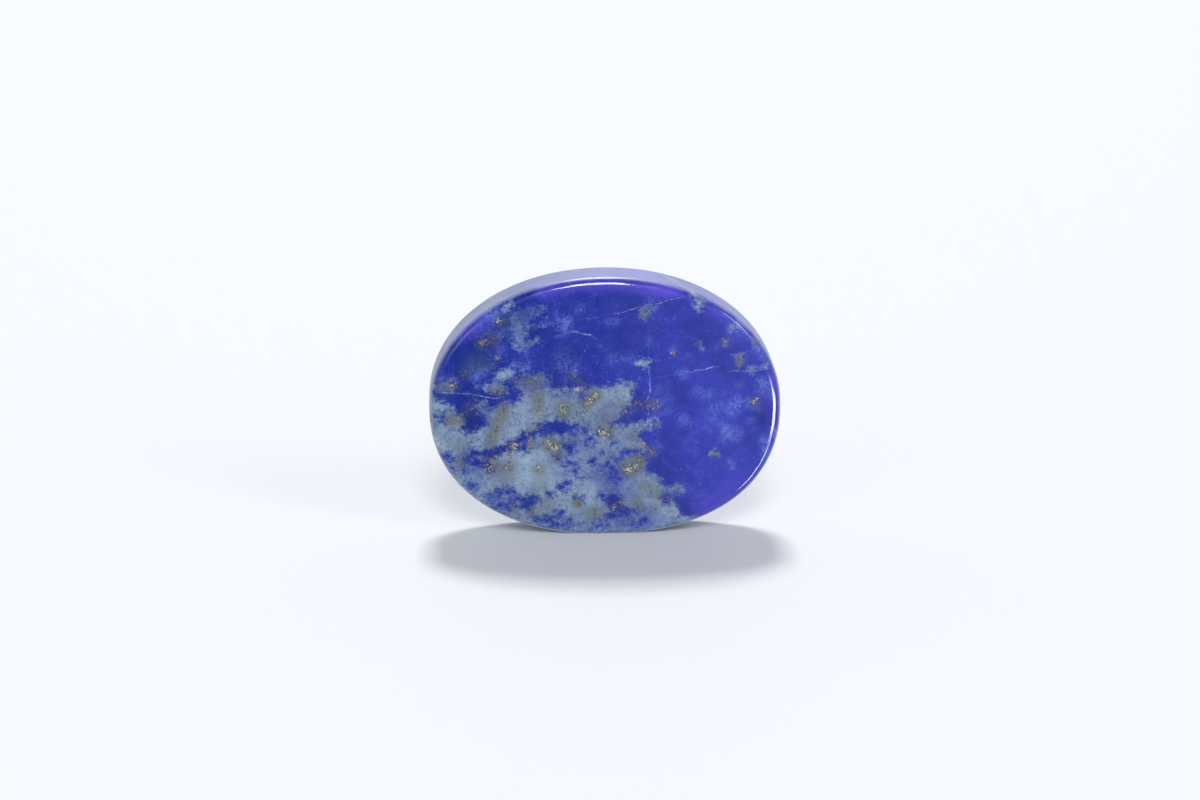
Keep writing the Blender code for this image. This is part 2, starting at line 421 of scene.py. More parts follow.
BLUE_RIVERS = (
    ((-11.9, -0.5, 0.10), (-11.6, -0.35, 0.14), (-11.62, -0.8, 0.12)),
    ((-6.9, -2.75, 0.25), (-5.9, -2.3, 0.35), (-5.0, -1.75, 0.38), (-4.2, -1.5, 0.50), (-3.4, -1.35, 0.52)),
    ((-3.4, -1.35, 0.52), (-2.7, -1.4, 0.48), (-2.0, -1.55, 0.20), (-1.5, -1.6, 0.08)),
    ((-5.0, -2.0, 0.15), (-5.0, -2.45, 0.12)),
    ((-5.75, -2.0, 0.30), (-5.75, -2.9, 0.28)),
    ((-7.2, -2.8, 0.25), (-6.2, -2.75, 0.25)),
    ((-9.5, -3.1, 0.25), (-8.9, -3.35, 0.35), (-8.2, -3.25, 0.40), (-7.6, -3.1, 0.32), (-7.0, -2.85, 0.25)),
    ((-9.8, -3.75, 0.25), (-9.2, -3.85, 0.35), (-8.6, -4.0, 0.38), (-8.2, -4.3, 0.22)),
    ((-11.3, -3.5, 0.30), (-11.1, -3.95, 0.28), (-10.8, -4.45, 0.14)),
    ((-9.9, -4.5, 0.15),),
    ((-9.75, -5.5, 0.16), (-9.3, -5.9, 0.18)),
    ((-8.8, -6.33, 0.16), (-8.4, -6.5, 0.14), (-8.2, -6.76, 0.14)),
    ((-7.7, -6.15, 0.15), (-7.0, -5.95, 0.30), (-6.7, -6.1, 0.20)),
    ((-7.6, -7.25, 0.22), (-7.0, -7.15, 0.30), (-6.6, -6.9, 0.30)),
    ((-6.6, -6.7, 0.30), (-6.0, -6.6, 0.40), (-5.5, -6.8, 0.50)),
    ((-6.2, -7.1, 0.25), (-5.5, -7.1, 0.30)),
    ((-5.2, -6.5, 0.20), (-4.6, -6.65, 0.12)),
    ((-5.0, -8.25, 0.22), (-4.3, -8.2, 0.30), (-3.7, -8.1, 0.30), (-3.2, -7.8, 0.32), (-3.1, -7.55, 0.25)),
    ((-4.0, -8.65, 0.15), (-3.4, -8.55, 0.20)),
    ((-2.9, -8.6, 0.14), (-2.6, -8.5, 0.18)),
    ((-4.3, -6.05, 0.08), (-4.0, -6.22, 0.14), (-3.75, -6.25, 0.12)),
    ((-3.35, -5.7, 0.12), (-3.0, -5.75, 0.22)),
    ((-2.75, -5.42, 0.05), (-2.45, -5.36, 0.05)),
    ((-3.1, -2.55, 0.18), (-2.75, -2.7, 0.28), (-2.45, -3.0, 0.30), (-2.3, -3.3, 0.18)),
    ((-3.4, -3.4, 0.18), (-3.3, -3.8, 0.12)),
    ((-3.1, -4.15, 0.12), (-2.3, -3.85, 0.18)),
    ((-2.07, -4.75, 0.06), (-1.8, -5.0, 0.06)),
    ((-1.36, -2.7, 0.10),),
    ((-1.3, -2.25, 0.05), (-0.6, -2.25, 0.05)),
    ((-0.75, -1.95, 0.10), (-0.5, -1.8, 0.10)),
    ((0.47, -2.6, 0.10),),
    ((-0.15, -3.35, 0.10),),
    ((-0.95, -3.95, 0.14), (-0.8, -3.7, 0.12)),
    ((0.86, -3.7, 0.14), (1.4, -3.4, 0.20), (1.87, -3.15, 0.16), (2.25, -3.2, 0.12)),
    ((-0.3, -4.37, 0.12), (0.2, -4.25, 0.12), (0.7, -4.6, 0.22), (0.62, -5.1, 0.24)),
    ((1.15, -4.55, 0.12),),
    ((-2.05, -6.6, 0.08), (-1.75, -6.6, 0.14), (-1.6, -6.7, 0.10)),
    ((-0.2, -6.5, 0.10), (0.4, -6.8, 0.45), (0.9, -7.15, 0.50), (1.2, -7.5, 0.30)),
    ((1.4, -7.5, 0.25), (2.1, -7.55, 0.20)),
    ((0.1, -7.85, 0.15), (0.9, -7.85, 0.20)),
    ((2.05, -8.65, 0.18), (2.5, -8.6, 0.16)),
    ((2.65, -8.2, 0.12), (2.8, -8.3, 0.12)),
    ((-0.3, -8.12, 0.08), (-0.1, -8.1, 0.08)),
    ((-0.9, -8.7, 0.06), (0.2, -8.7, 0.08)),
    ((-8.2, -0.05, 0.10), (-7.7, 0.0, 0.10)),
)

big_depth = region_depth(BIG_CLOUD, DRAWING)
river_depth = strokes_depth(BLUE_RIVERS, DRAWING)
small_depth = strokes_depth(SMALL_CLOUDS, DRAWING)
CALCITE_DEPTH = np.maximum(np.minimum(big_depth, -river_depth), small_depth)
keep_on_skin("calcite_depth", np.clip(CALCITE_DEPTH, -3, 3))
print("share of the skin under calcite:", round(float((CALCITE_DEPTH > 0).mean()), 2))

# %% [markdown]
# ## Tones within the stone
# The calcite is palest in the cores of the cloud and thins to violet-grey where blue shows through. The
# blue has its own weather: light haze, darker pools and greener blue near the lower rim. Two tones are
# painted light: a violet glow along the rounded rim where light comes in through it, and haze marks on
# the rim that paint sheen and light bounced up from the table.

# %% Soft marks for each tone
PALE_CORES = (
    (0.45, ((-6.8, -1.6, 0.5), (-5.8, -0.9, 0.6))),
    (1.00, ((-6.0, -3.9, 0.4), (-5.2, -4.6, 0.9), (-4.4, -5.2, 0.7))),
    (0.80, ((-1.8, -5.4, 0.5), (-1.1, -5.9, 0.5))),
    (0.40, ((-1.2, -3.2, 0.4), (-0.4, -3.0, 0.4))),
    (0.50, ((2.0, -5.6, 0.4), (2.6, -6.1, 0.5), (1.9, -6.4, 0.3))),
    (0.70, ((4.0, -7.5, 0.4), (4.8, -7.6, 0.3))),
    (0.50, ((0.2, 0.6, 0.6), (1.2, 1.1, 0.4))),
    (0.30, ((-4.2, 0.3, 0.4),)),
    (0.35, ((-9.5, -2.3, 0.4), (-11.2, -2.0, 0.5))),
    (0.40, ((-12.0, 0.35, 0.3),)),
    (0.45, ((-1.4, -7.4, 0.4), (-3.0, -6.8, 0.4))),
    (0.50, ((-6.25, 4.6, 0.2), (-5.3, 4.8, 0.12))),
    (0.50, ((-6.0, 5.78, 0.1), (-5.4, 5.9, 0.08))),
    (1.00, ((-6.85, 7.5, 0.15),)),
    (0.90, ((2.8, 3.2, 0.25),)),
    (0.50, ((-7.3, 2.45, 0.35),)),
    (0.60, ((-10.0, -5.0, 0.3), (-9.0, -5.2, 0.4))),
    (0.80, ((6.4, 8.2, 0.2), (6.5, 7.5, 0.2))),
)
THIN_CALCITE = (
    (0.50, ((-8.9, 0.4, 0.3), (-8.85, -0.6, 0.25))),
    (0.50, ((-6.0, 1.9, 0.4), (-4.6, 2.0, 0.35))),
    (0.45, ((-11.5, 1.55, 0.3), (-10.9, 1.6, 0.3))),
    (0.25, ((-7.9, 1.5, 0.4),)),
    (0.45, ((-5.9, 6.7, 0.5), (-6.0, 5.6, 0.45), (-6.1, 4.9, 0.3))),
    (0.55, ((-5.4, 7.0, 0.4), (-4.4, 7.2, 0.3))),
    (0.40, ((-1.9, -1.8, 0.3), (-1.7, -2.4, 0.3))),
    (0.25, ((-0.9, -3.5, 0.4), (0.3, -3.7, 0.5))),
    (0.45, ((-0.4, -5.0, 0.35), (0.4, -5.6, 0.45), (0.2, -6.1, 0.3))),
    (0.30, ((1.3, -5.4, 0.5), (1.5, -6.2, 0.4))),
    (0.25, ((-3.5, -8.9, 0.3), (4.0, -8.6, 0.3))),
    (0.40, ((1.6, -8.1, 0.4), (2.8, -7.9, 0.3))),
    (0.40, ((-7.8, -6.8, 0.3), (-7.1, -6.7, 0.2))),
    (0.25, ((-10.3, -4.6, 0.4), (-9.0, -5.0, 0.4))),
    (0.40, ((-9.8, -3.4, 0.3), (-9.3, -4.4, 0.2))),
    (0.25, ((-3.0, -4.0, 0.5), (-2.4, -4.8, 0.4))),
    (0.40, ((9.5, 3.1, 0.3), (9.9, 3.9, 0.2))),
    (0.35, ((10.25, 2.7, 0.3),)),
    (0.30, ((10.8, 4.75, 0.3),)),
    (0.55, ((8.5, 4.75, 0.25),)),
    (0.45, ((6.6, 4.6, 0.3),)),
    (0.40, ((2.8, 6.6, 0.3), (3.0, 7.3, 0.2))),
    (0.30, ((0.2, -0.3, 0.3), (1.2, -0.3, 0.3))),
    (0.25, ((-3.6, 1.2, 0.2), (-2.2, 1.2, 0.2))),
)
# Pale haze in the blue; the marks that lie on the rim paint light there instead.
RIM_LIGHT_AND_HAZE_MARKS = (
    (0.45, ((-6.4, 3.0, 0.20), (-5.6, 3.1, 0.15))),
    (0.25, ((-9.2, 2.67, 0.25),)),
    (0.40, ((-9.35, 2.15, 0.06), (-9.0, 2.35, 0.06))),
    (0.40, ((-8.5, 2.73, 0.10),)),
    (0.30, ((-11.7, 2.1, 0.12), (-10.9, 2.15, 0.12))),
    # Painted sheen on the left rim where its line of light ends.
    (0.80, ((-8.3, 6.85, 0.08), (-8.0, 6.95, 0.10))),
    (0.35, ((-7.3, 5.35, 0.15), (-7.0, 5.4, 0.12))),
    (0.25, ((-7.4, 4.3, 0.20),)),
    (0.50, ((-3.2, 6.25, 0.10), (-2.75, 6.25, 0.16), (-2.85, 5.95, 0.06))),
    (0.25, ((-4.4, 6.1, 0.04), (-3.2, 6.2, 0.06))),
    (0.25, ((-3.4, 5.45, 0.12), (-2.9, 5.5, 0.10))),
    (0.25, ((-1.95, 7.1, 0.08), (-1.7, 7.12, 0.08))),
    (0.20, ((-2.9, 3.7, 0.35), (-2.5, 3.2, 0.30))),
    (0.30, ((-3.35, 3.0, 0.10), (-2.1, 2.75, 0.12))),
    (0.30, ((0.5, 3.55, 0.12), (1.2, 3.7, 0.14), (2.0, 3.6, 0.10))),
    (0.50, ((5.3, 2.42, 0.08), (5.65, 2.5, 0.08))),
    (0.25, ((3.05, 4.75, 0.12),)),
    (0.30, ((0.2, 6.25, 0.05), (0.8, 6.25, 0.06))),
    (0.60, ((8.95, 5.65, 0.14), (9.3, 5.8, 0.14))),
    (0.40, ((9.5, 5.55, 0.18), (9.85, 5.5, 0.18))),
    (0.50, ((10.7, 4.35, 0.10),)),
    (0.40, ((11.2, 3.9, 0.18), (11.5, 3.4, 0.18))),
    (0.45, ((10.95, 1.85, 0.08), (11.3, 1.75, 0.10))),
    (0.35, ((11.2, 1.3, 0.22), (11.5, 0.9, 0.18))),
    (0.50, ((11.85, 1.9, 0.08), (11.85, 1.5, 0.08))),
    (0.25, ((9.5, 1.6, 0.12),)),
    (0.25, ((6.5, 1.15, 0.12), (6.9, 1.15, 0.12))),
    (0.40, ((7.1, 0.8, 0.12), (7.5, 0.95, 0.06))),
    (0.40, ((7.8, -0.1, 0.14), (8.2, 0.0, 0.14))),
    (0.55, ((9.0, -0.2, 0.20), (9.3, 0.4, 0.14))),
    (0.40, ((9.4, 0.05, 0.12), (10.1, 0.3, 0.06))),
    (0.30, ((10.5, 0.15, 0.18), (10.9, 0.05, 0.14))),
    (0.40, ((5.6, -1.0, 0.18), (5.9, -1.0, 0.12))),
    (0.30, ((7.6, -0.8, 0.14), (7.95, -1.05, 0.10))),
    (0.55, ((8.4, -1.5, 0.11),)),
    (0.50, ((8.8, -1.9, 0.22), (9.3, -2.0, 0.22))),
    (0.30, ((8.8, -2.1, 0.18), (8.35, -2.45, 0.10))),
    (0.35, ((10.2, -1.0, 0.05), (10.55, -0.95, 0.05))),
    (0.50, ((8.95, -4.1, 0.08), (9.05, -4.33, 0.06))),
    # Painted sheen on the right rim beside its line of light, in this mark and the next.
    (0.60, ((11.3, -2.5, 0.10), (11.35, -3.1, 0.14), (11.45, -3.4, 0.10))),
    (0.80, ((12.05, -1.8, 0.10), (12.1, -2.0, 0.08))),
    (0.15, ((7.1, -6.6, 0.25),)),
    (0.30, ((5.0, -6.0, 0.12), (5.6, -5.9, 0.14))),
    (0.30, ((3.75, -2.9, 0.10),)),
    (0.20, ((4.0, 1.0, 0.3), (4.4, 0.2, 0.3))),
    # Painted reflection of the pale table along the lower left rim.
    (0.35, ((-12.0, -3.2, 0.3), (-11.1, -4.9, 0.2), (-9.0, -7.0, 0.15), (-6.0, -8.3, 0.15))),
    (0.35, ((-8.7, 5.9, 0.3), (-7.6, 7.2, 0.2))),
    # Painted bounce light from the table along the bottom rim.
    (0.55, ((-6.0, -8.4, 0.08), (-3.0, -8.95, 0.10), (0.0, -9.1, 0.12), (3.0, -8.95, 0.10),
            (5.5, -8.45, 0.08))),
)
DARK_POOLS = (
    (0.50, ((-9.8, 3.0, 0.3), (-9.1, 3.3, 0.4))),
    (0.35, ((-10.2, 2.6, 0.3), (-9.8, 2.4, 0.2))),
    (0.40, ((-7.6, 6.0, 0.4), (-7.1, 5.8, 0.3))),
    (0.30, ((-8.6, 4.3, 0.5),)),
    (0.35, ((-9.7, 0.3, 0.35), (-9.6, -0.1, 0.3))),
    (0.40, ((-9.6, -1.0, 0.4),)),
    (0.30, ((-2.9, 1.9, 0.5), (-2.0, 1.8, 0.3))),
    (0.25, ((2.3, 0.2, 0.4), (1.9, -1.05, 0.3))),
    (0.25, ((5.1, 0.8, 0.4),)),
    (0.30, ((8.3, 3.4, 0.4), (9.0, 3.7, 0.3))),
    (0.25, ((9.0, 2.2, 0.4), (10.5, 2.1, 0.3))),
    (0.45, ((11.1, -0.4, 0.4), (11.6, -0.8, 0.3))),
    (0.25, ((10.6, -1.8, 0.5), (10.6, -2.4, 0.4))),
    (0.20, ((5.9, 3.8, 0.4),)),
    (0.30, ((6.4, 5.4, 0.5), (7.6, 5.5, 0.5))),
    (0.20, ((7.3, 6.8, 0.3),)),
    (0.30, ((5.5, -7.2, 0.4), (5.9, -7.7, 0.2))),
    (0.25, ((4.3, -5.2, 0.4), (5.1, -5.1, 0.3))),
    (0.20, ((4.4, -2.5, 0.3), (4.3, -3.8, 0.4))),
    (0.20, ((0.6, 7.6, 0.4), (2.0, 7.7, 0.4))),
    (0.25, ((4.8, 7.35, 0.3),)),
    (0.20, ((-2.3, 4.0, 0.4), (-3.3, 4.2, 0.4))),
    (0.20, ((0.5, 4.9, 0.4), (3.2, 5.6, 0.4))),
    (0.30, ((-4.95, 5.6, 0.25),)),
    (0.35, ((-4.9, -8.2, 0.2), (-4.2, -8.1, 0.2))),
    (0.35, ((0.6, -7.0, 0.3), (1.2, -7.4, 0.2))),
    (0.30, ((-8.9, -3.3, 0.3), (-8.0, -3.3, 0.3))),
    (0.30, ((-5.8, -6.5, 0.2), (-5.4, -7.1, 0.2))),
)
GREENER_BLUE = (
    (0.45, ((-11.1, -3.5, 0.3), (-10.8, -4.3, 0.3), (-10.0, -5.1, 0.3), (-9.3, -5.9, 0.3))),
    (0.40, ((-8.5, -6.6, 0.3), (-7.8, -6.4, 0.3))),
    (0.40, ((-5.4, -7.0, 0.3),)),
    (0.40, ((-4.6, -8.1, 0.3), (-3.2, -7.7, 0.3))),
    (0.40, ((-12.0, 1.0, 0.2), (-11.4, 0.9, 0.2))),
    (0.50, ((-11.7, -0.6, 0.2),)),
    (0.35, ((-6.9, 6.5, 0.3), (-6.8, 5.6, 0.2))),
    (0.30, ((-9.5, 3.3, 0.4), (-8.4, 3.4, 0.3))),
)
# Painted glow: violet along the rounded rim where light comes in through it.
RIM_GLOW_MARKS = (
    (0.50, ((-4.5, 8.35, 0.15), (-2.0, 8.75, 0.1), (0.0, 8.85, 0.1), (3.0, 8.6, 0.15), (5.2, 8.2, 0.15))),
    (0.70, ((3.4, 8.55, 0.12), (4.6, 8.35, 0.15))),
    (0.45, ((-10.3, 5.2, 0.1), (-9.0, 6.1, 0.2), (-8.2, 6.5, 0.1))),
    (0.40, ((6.6, -7.6, 0.1), (8.2, -6.5, 0.25), (9.6, -5.3, 0.1))),
    (0.40, ((7.6, 7.0, 0.15), (8.2, 6.6, 0.2))),
    (0.20, ((11.9, -1.5, 0.2), (12.0, 1.5, 0.2))),
)
OLIVE_STAINS = (
    (0.50, ((-4.75, 0.1, 0.20), (-4.75, 1.0, 0.20))),
    (0.60, ((-3.0, -0.1, 0.30),)),
    (0.65, ((-1.4, 0.35, 0.20), (-0.7, 0.95, 0.20))),
    (0.30, ((0.3, -0.25, 0.30), (1.2, -0.25, 0.30))),
    (0.60, ((-7.3, 0.0, 0.20), (-7.4, -0.6, 0.20), (-7.8, -1.4, 0.16), (-8.1, -2.4, 0.12))),
    (0.35, ((-7.0, -4.8, 0.35),)),
    (0.30, ((-4.6, -5.9, 0.40), (-4.2, -6.9, 0.30))),
    (0.40, ((2.6, -5.72, 0.08), (3.0, -5.8, 0.15), (3.3, -6.1, 0.18), (3.8, -6.4, 0.14))),
    (0.45, ((2.2, -6.8, 0.22), (2.4, -7.2, 0.16))),
    (0.35, ((3.5, -7.4, 0.16),)),
    (0.45, ((-1.0, -7.7, 0.22), (-0.5, -7.6, 0.15))),
    (0.60, ((-1.95, -6.95, 0.18),)),
    (0.60, ((-10.95, -0.8, 0.18), (-10.4, -0.8, 0.18))),
    (0.55, ((-11.4, 1.6, 0.22), (-10.8, 1.7, 0.16))),
    (0.45, ((-7.75, 1.2, 0.16), (-7.4, 1.3, 0.12))),
    (0.35, ((-10.2, -2.65, 0.22),)),
    (0.60, ((-4.0, -2.6, 0.30), (-3.5, -2.75, 0.20))),
    (0.60, ((1.8, -4.4, 0.38),)),
    (0.55, ((2.6, -3.7, 0.22),)),
    (0.35, ((2.07, -2.1, 0.16),)),
    (0.45, ((-0.3, -1.7, 0.15), (0.15, -1.75, 0.20))),
    (0.35, ((-5.3, -1.35, 0.10), (-4.7, -1.33, 0.10))),
    (0.45, ((-5.4, -1.9, 0.10), (-5.4, -2.7, 0.10))),
    (0.45, ((-5.7, 1.95, 0.16), (-5.0, 1.9, 0.22))),
    (0.45, ((-6.6, -2.7, 0.20),)),
    (0.45, ((-7.95, -3.65, 0.16),)),
    (0.50, ((-8.3, -4.3, 0.22),)),
    (0.55, ((-7.2, -4.25, 0.18), (-6.8, -4.1, 0.18))),
    (0.50, ((-10.3, -3.87, 0.18),)),
    (0.50, ((-4.7, -4.45, 0.20),)),
    (0.50, ((-8.6, 4.8, 0.24), (-7.9, 5.1, 0.20))),
    (0.45, ((-7.5, 6.3, 0.16),)),
    (0.40, ((-9.97, 2.61, 0.14),)),
    (0.35, ((-9.3, 3.3, 0.25), (-8.3, 3.3, 0.25))),
    (0.45, ((-6.6, -7.05, 0.16), (-6.7, -7.4, 0.10))),
    (0.45, ((-5.35, -7.5, 0.10), (-5.4, -7.7, 0.12))),
    (0.30, ((-9.1, 0.9, 0.12),)),
    (0.35, ((-9.6, 0.0, 0.20),)),
    (0.40, ((9.5, 3.3, 0.20),)),
    (0.45, ((8.55, 4.75, 0.16),)),
    (0.50, ((10.7, 4.6, 0.14),)),
    (0.55, ((10.6, 0.42, 0.16),)),
    (0.45, ((7.8, -3.42, 0.12),)),
    (0.45, ((2.75, 6.8, 0.16),)),
    (0.45, ((3.3, 0.2, 0.22),)),
    (0.35, ((2.3, 0.25, 0.14),)),
    (0.50, ((3.3, -3.25, 0.16),)),
    (0.45, ((-2.35, 2.3, 0.10), (-1.45, 1.5, 0.10))),
    (0.30, ((-0.25, -0.85, 0.22),)),
    (0.40, ((-3.5, -3.65, 0.16),)),
    (0.40, ((0.7, -7.2, 0.16), (1.2, -7.1, 0.16))),
    (0.40, ((4.9, 3.92, 0.08),)),
    (0.35, ((-6.8, 6.5, 0.25),)),
    (0.35, ((4.4, -6.7, 0.22),)),
)
# Across, up and radius of the specks that stand alone
PALE_SPECKS = (
    (-8.55, 1.06, 0.07), (-10.2, -0.63, 0.08), (-7.46, -0.63, 0.07), (-7.13, 0.06, 0.07),
    (-6.9, -0.15, 0.06), (-7.87, -2.15, 0.08), (-8.08, -2.6, 0.07), (-4.72, -0.36, 0.08),
    (-1.65, -0.65, 0.07), (-5.7, -0.9, 0.06), (1.4, -0.36, 0.07), (3.5, -0.06, 0.08),
    (1.83, -1.0, 0.06), (1.6, -1.18, 0.06), (2.48, -2.3, 0.07), (-0.14, 2.84, 0.09), (2.42, 3.25, 0.08),
    (2.72, 3.1, 0.10), (3.05, 3.28, 0.10), (2.97, 3.6, 0.06), (-2.5, -1.8, 0.06), (-7.34, -3.27, 0.07),
    (-6.27, -2.65, 0.08), (-3.67, -2.68, 0.10), (-4.8, -4.6, 0.06), (-4.9, -3.65, 0.06),
    (-4.7, -3.4, 0.06), (-3.5, -3.95, 0.06), (-7.2, -5.2, 0.06), (-6.5, -6.0, 0.07),
    (-5.96, -6.93, 0.09), (-4.9, -7.13, 0.08), (2.43, -3.3, 0.08), (2.0, -6.26, 0.08),
    (2.5, -7.27, 0.09), (1.36, -6.56, 0.06), (-6.1, 7.3, 0.08), (-6.6, 6.15, 0.08), (-6.4, 5.35, 0.08),
    (-7.25, 5.25, 0.10), (-6.87, 5.4, 0.08), (-8.57, 4.88, 0.10), (-7.7, 3.67, 0.11),
    (-7.35, 4.25, 0.06), (-5.0, 6.5, 0.07), (-4.8, 6.8, 0.09), (-2.85, 6.25, 0.08), (-3.65, 5.97, 0.09),
    (-1.05, 5.3, 0.10), (-1.7, 7.12, 0.08), (-1.45, 4.13, 0.09), (-0.55, 3.25, 0.08),
    (-2.1, 2.75, 0.08), (2.3, 8.7, 0.08), (1.0, 6.85, 0.08), (4.25, 7.7, 0.09), (3.3, 7.1, 0.08),
    (2.95, 7.2, 0.08), (0.75, 6.25, 0.07), (5.45, 5.45, 0.08), (4.65, 3.92, 0.09), (5.35, 2.4, 0.07),
    (5.6, 2.5, 0.07), (6.45, 7.5, 0.09), (9.2, 5.75, 0.10), (7.8, 5.38, 0.07), (8.0, 5.38, 0.07),
    (7.5, 5.28, 0.06), (7.5, 5.12, 0.06), (7.2, 5.93, 0.06), (6.95, 3.8, 0.07), (7.8, 3.5, 0.07),
    (10.4, 3.4, 0.08), (9.45, 2.95, 0.08), (7.42, 2.4, 0.07), (7.62, 1.0, 0.07), (9.35, 0.5, 0.07),
    (7.9, -0.15, 0.07), (8.25, -0.12, 0.06), (8.4, -1.5, 0.09), (9.75, -1.6, 0.06), (9.4, -2.6, 0.07),
    (9.45, -3.85, 0.07), (8.95, -4.1, 0.08), (11.3, -3.2, 0.09), (7.9, -3.4, 0.08), (3.7, -2.5, 0.07),
    (4.75, -3.45, 0.06), (4.7, -6.7, 0.09), (4.4, -6.6, 0.07), (11.15, 1.85, 0.08), (11.6, 2.9, 0.07),
)
DARK_SPECKS = (
    (-6.95, -6.05, 0.09), (-3.0, 4.03, 0.09), (5.1, 3.88, 0.11), (8.5, 3.55, 0.08), (10.5, 0.75, 0.09),
    (9.55, 2.83, 0.10), (-1.9, -8.42, 0.07), (-1.65, -8.46, 0.07), (2.8, -8.3, 0.11),
    (3.25, -6.1, 0.11), (-4.35, -6.0, 0.08), (-4.15, -6.2, 0.09), (1.98, -4.04, 0.09),
    (3.1, -3.2, 0.10), (3.4, -3.05, 0.08), (-3.45, 0.97, 0.12), (-8.35, 4.6, 0.08), (-8.85, 4.75, 0.08),
    (-7.75, 6.15, 0.08), (6.0, -7.8, 0.12), (7.8, -0.7, 0.09), (-4.95, 6.95, 0.14),
    (-8.35, -4.15, 0.10), (-4.6, -0.45, 0.08), (-10.95, 1.6, 0.09), (0.4, -1.45, 0.08),
    (-1.3, -0.2, 0.08), (-7.0, -4.05, 0.09), (-4.2, -2.9, 0.09), (1.35, -4.7, 0.10),
)

LEFT_TONE, MIDDLE_TONE, RIGHT_TONE = 0.08, 0.46, 0.94
keep_on_skin("blue_tone", np.interp(DRAWING[:, 0], [-9.0, 0.0, 8.0], [LEFT_TONE, MIDDLE_TONE, RIGHT_TONE]))
for tone, marks in (
    ("pale_core", PALE_CORES),
    ("thin_calcite", THIN_CALCITE),
    ("rim_light_and_haze", RIM_LIGHT_AND_HAZE_MARKS),
    ("dark_pool", DARK_POOLS),
    ("greener_blue", GREENER_BLUE),
    ("painted_rim_glow", RIM_GLOW_MARKS),
    ("olive_stain", OLIVE_STAINS),
):
    keep_on_skin(tone, glow(marks, DRAWING))
    print(tone, "marks:", len(marks))

for kind, specks in (("pale_speck", PALE_SPECKS), ("dark_speck", DARK_SPECKS)):
    keep_on_skin(kind, np.clip(strokes_depth([(speck,) for speck in specks], DRAWING), -3, 3))
    print(kind, "specks:", len(specks))

# %% [markdown]
# ## Pyrite
# The gold specks are grains of pyrite, a fifth to a half of a millimetre across, in little swarms. Here
# only the swarms are placed. The shader breaks each into grains and paints glints on some and shade on
# others.

# %% Where the pyrite swarms are
BRIGHT_SWARMS = (
    ((-4.1, -2.5, 0.18), (-3.85, -2.85, 0.18), (-3.4, -2.8, 0.12)),
    ((1.5, -4.5, 0.16), (1.9, -4.4, 0.26), (2.15, -4.3, 0.10)),
    ((-6.5, -2.68, 0.16), (-6.25, -2.65, 0.08)),
    ((-7.93, -3.63, 0.12),),
    ((-8.2, -4.4, 0.14),),
    ((-7.15, -4.25, 0.12), (-6.95, -4.27, 0.12)),
    ((-4.72, -0.38, 0.11),),
    ((2.7, -2.67, 0.13),),
    ((3.3, -3.3, 0.10), (3.5, -3.27, 0.08)),
    ((-7.5, 6.35, 0.17),),
    ((-7.7, 3.67, 0.10),),
    ((-10.8, 1.76, 0.14),),
    ((3.5, 0.0, 0.08), (3.75, 0.3, 0.08)),
    ((1.4, -0.35, 0.07),),
    ((4.6, 3.92, 0.06), (4.9, 3.94, 0.08)),
    ((-2.1, 1.33, 0.07), (-1.7, 1.36, 0.08)),
    ((-4.7, -4.45, 0.14),),
    ((10.45, 0.38, 0.10), (10.8, 0.5, 0.07)),
    ((1.2, -6.95, 0.10),),
    ((0.65, -7.25, 0.09),),
    ((-0.42, -1.76, 0.10), (0.0, -1.95, 0.10)),
    ((-8.57, 4.88, 0.09),),
    ((-1.3, 0.35, 0.12), (-0.75, 0.9, 0.14)),
    ((-3.0, -0.1, 0.14),),
)
